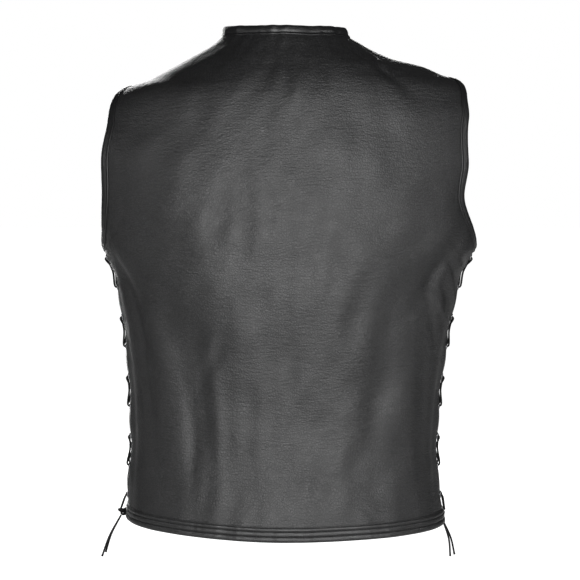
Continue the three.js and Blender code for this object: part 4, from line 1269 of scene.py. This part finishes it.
def strand(side, startFacing):
    # crosses from hole to hole, outside and inside by turns, and ends at the knot
    name = sideName(side)
    holes = [
        holePlace(side, startFacing if row % 2 == 0 else -startFacing, height)
        for row, height in enumerate(eyeletHeights)
    ]
    points = []
    for row in range(len(holes) - 1):
        lift = lace["low"] if startFacing > 0 else lace["high"]
        points += crossing(holes[row], holes[row + 1], 1 if row % 2 == 0 else -1, lift)
    centre, size = np.array(knots[name]["centre"], float), knots[name]["size"]
    facing = np.sign(np.cos(np.radians(holes[-1][1])))
    goal = np.array([
        side * (centre[0] + lace["endOut"]), facing * size[1] * lace["endApart"],
        centre[2] + size[2] * lace["endUp"],
    ])
    leaving = outOfHole(holes[-1], 1, goal)
    return points + leaving + [goal - unit(goal - leaving[-1]) * lace["endShort"]]


def smoothPath(points, step):
    # centripetal-like cubic through the points, its slopes from the neighbouring chords, then evenly spaced
    points = np.array(points, float)
    chord = np.linalg.norm(np.diff(points, axis=0), axis=1)
    time = np.r_[0, np.cumsum(np.sqrt(chord))]
    slope = np.gradient(points, time, axis=0)
    fine = np.linspace(0, time[-1], 24 * len(points))
    i = np.clip(np.searchsorted(time, fine) - 1, 0, len(time) - 2)
    span = (time[i + 1] - time[i])[:, None]
    t = (fine - time[i])[:, None] / span
    line = hermite(points[i], points[i + 1], span * slope[i], span * slope[i + 1], t)
    run = runLength(line)
    at = np.linspace(0, run[-1], int(run[-1] / step) + 1)
    return np.stack([np.interp(at, run, line[:, k]) for k in range(3)], -1)


def addLaces():
    for name, side in sides.items():
        bar = crossing(
            holePlace(side, -1, eyelets["top"]), holePlace(side, 1, eyelets["top"]), -1, lace["low"]
        )
        path = smoothPath(strand(side, -1)[::-1] + bar + strand(side, 1), lace["step"])
        makePiece(
            f"lace_{name}", tubeMesh(path, lace["radius"], lace["sides"]),
            finishes["lace"], [f"lace_{name}"],
        )


def knotPath(centre, size, side):
    # a three-lobed closed knot: (sin t + 2 sin 2t, cos t - 2 cos 2t, -sin 3t), pressed to the knot's size
    t = np.linspace(0, 2 * np.pi, lace["knotPoints"], endpoint=False)
    x, z, y = np.sin(t) + 2 * np.sin(2 * t), np.cos(t) - 2 * np.cos(2 * t), -np.sin(3 * t)
    room = np.array(size, float) - lace["radius"]
    knot = np.stack([x / 3 * room[0], y * room[1] * lace["knotDepth"], z / 3 * room[2]], -1)
    return (knot + np.array(centre)) * np.array([side, 1, 1])


addLaces()
for name, side in sides.items():
    path = knotPath(knots[name]["centre"], knots[name]["size"], side)
    makePiece(
        f"knot_{name}", tubeMesh(path, lace["radius"] * lace["knotSwell"], lace["sides"], closed=True),
        finishes["lace"], [f"knot_{name}"],
    )
print("lacing done")


studio = {
    "floorHeight": -0.9,
    "floorSize": 60.0,
    "floorColour": (0.8, 0.8, 0.8),
    "floorRough": 0.95,
    "floorGlow": 1.5,  # seen by the camera alone, as the world's white is
    "glowShare": 0.7,
    "worldSeen": 1.0,
    "worldLight": 0.045,
    "lamps": [
        {"place": (-0.22, 2.9, -0.8), "size": 3.7, "power": 222},
        {"place": (2.4, 0.9, 0.3), "size": 0.45, "power": 7},
        {"place": (-2.4, 0.9, 0.3), "size": 0.45, "power": 9},
        {"place": (-1.0, 2.3, 1.7), "size": 0.6, "power": 7},
        {"place": (0.5, -3.0, 0.1), "size": 2.4, "power": 120},
    ],
}


def addFloor():
    half = studio["floorSize"] / 2
    corners = [(-half, -half), (half, -half), (half, half), (-half, half)]
    mesh = bpy.data.meshes.new("floor")
    mesh.from_pydata([(x, y, studio["floorHeight"]) for x, y in corners], [], [(0, 1, 2, 3)])
    material = bpy.data.materials.new("floor")
    material.use_nodes = True
    nodes, links = material.node_tree.nodes, material.node_tree.links
    surface = nodes["Principled BSDF"]
    surface.inputs["Base Color"].default_value = (*studio["floorColour"], 1)
    surface.inputs["Roughness"].default_value = studio["floorRough"]
    surface.inputs["Specular IOR Level"].default_value = 0.0
    glow, seen = nodes.new("ShaderNodeEmission"), nodes.new("ShaderNodeLightPath")
    glow.inputs["Strength"].default_value = studio["floorGlow"]
    share, both = nodes.new("ShaderNodeMath"), nodes.new("ShaderNodeMixShader")
    share.operation = "MULTIPLY"
    share.inputs[1].default_value = studio["glowShare"]
    links.new(seen.outputs["Is Camera Ray"], share.inputs[0])
    links.new(share.outputs[0], both.inputs["Fac"])
    links.new(surface.outputs[0], both.inputs[1])
    links.new(glow.outputs[0], both.inputs[2])
    links.new(both.outputs[0], nodes["Material Output"].inputs["Surface"])
    mesh.materials.append(material)
    floor = bpy.data.objects.new("floor", mesh)
    scene.collection.objects.link(floor)


def addLight():
    world = bpy.data.worlds.new("studio")
    world.use_nodes = True
    nodes, links = world.node_tree.nodes, world.node_tree.links
    nodes["Background"].inputs["Color"].default_value = (1, 1, 1, 1)
    seen, level = nodes.new("ShaderNodeLightPath"), nodes.new("ShaderNodeMapRange")
    level.inputs["To Min"].default_value = studio["worldLight"]
    level.inputs["To Max"].default_value = studio["worldSeen"]
    links.new(seen.outputs["Is Camera Ray"], level.inputs["Value"])
    links.new(level.outputs["Result"], nodes["Background"].inputs["Strength"])
    scene.world = world
    for number, lamp in enumerate(studio["lamps"], 1):
        data = bpy.data.lights.new(f"lamp_{number}", "AREA")
        data.shape, data.size, data.energy = "DISK", lamp["size"], lamp["power"]
        light = bpy.data.objects.new(data.name, data)
        light.location = lamp["place"]
        light.rotation_euler = (Vector(shot["target"]) - light.location).to_track_quat("-Z", "Y").to_euler()
        scene.collection.objects.link(light)
    scene.view_settings.view_transform = "Standard"


addFloor()
addLight()
print("floor and lamps placed")

print("scene finished")
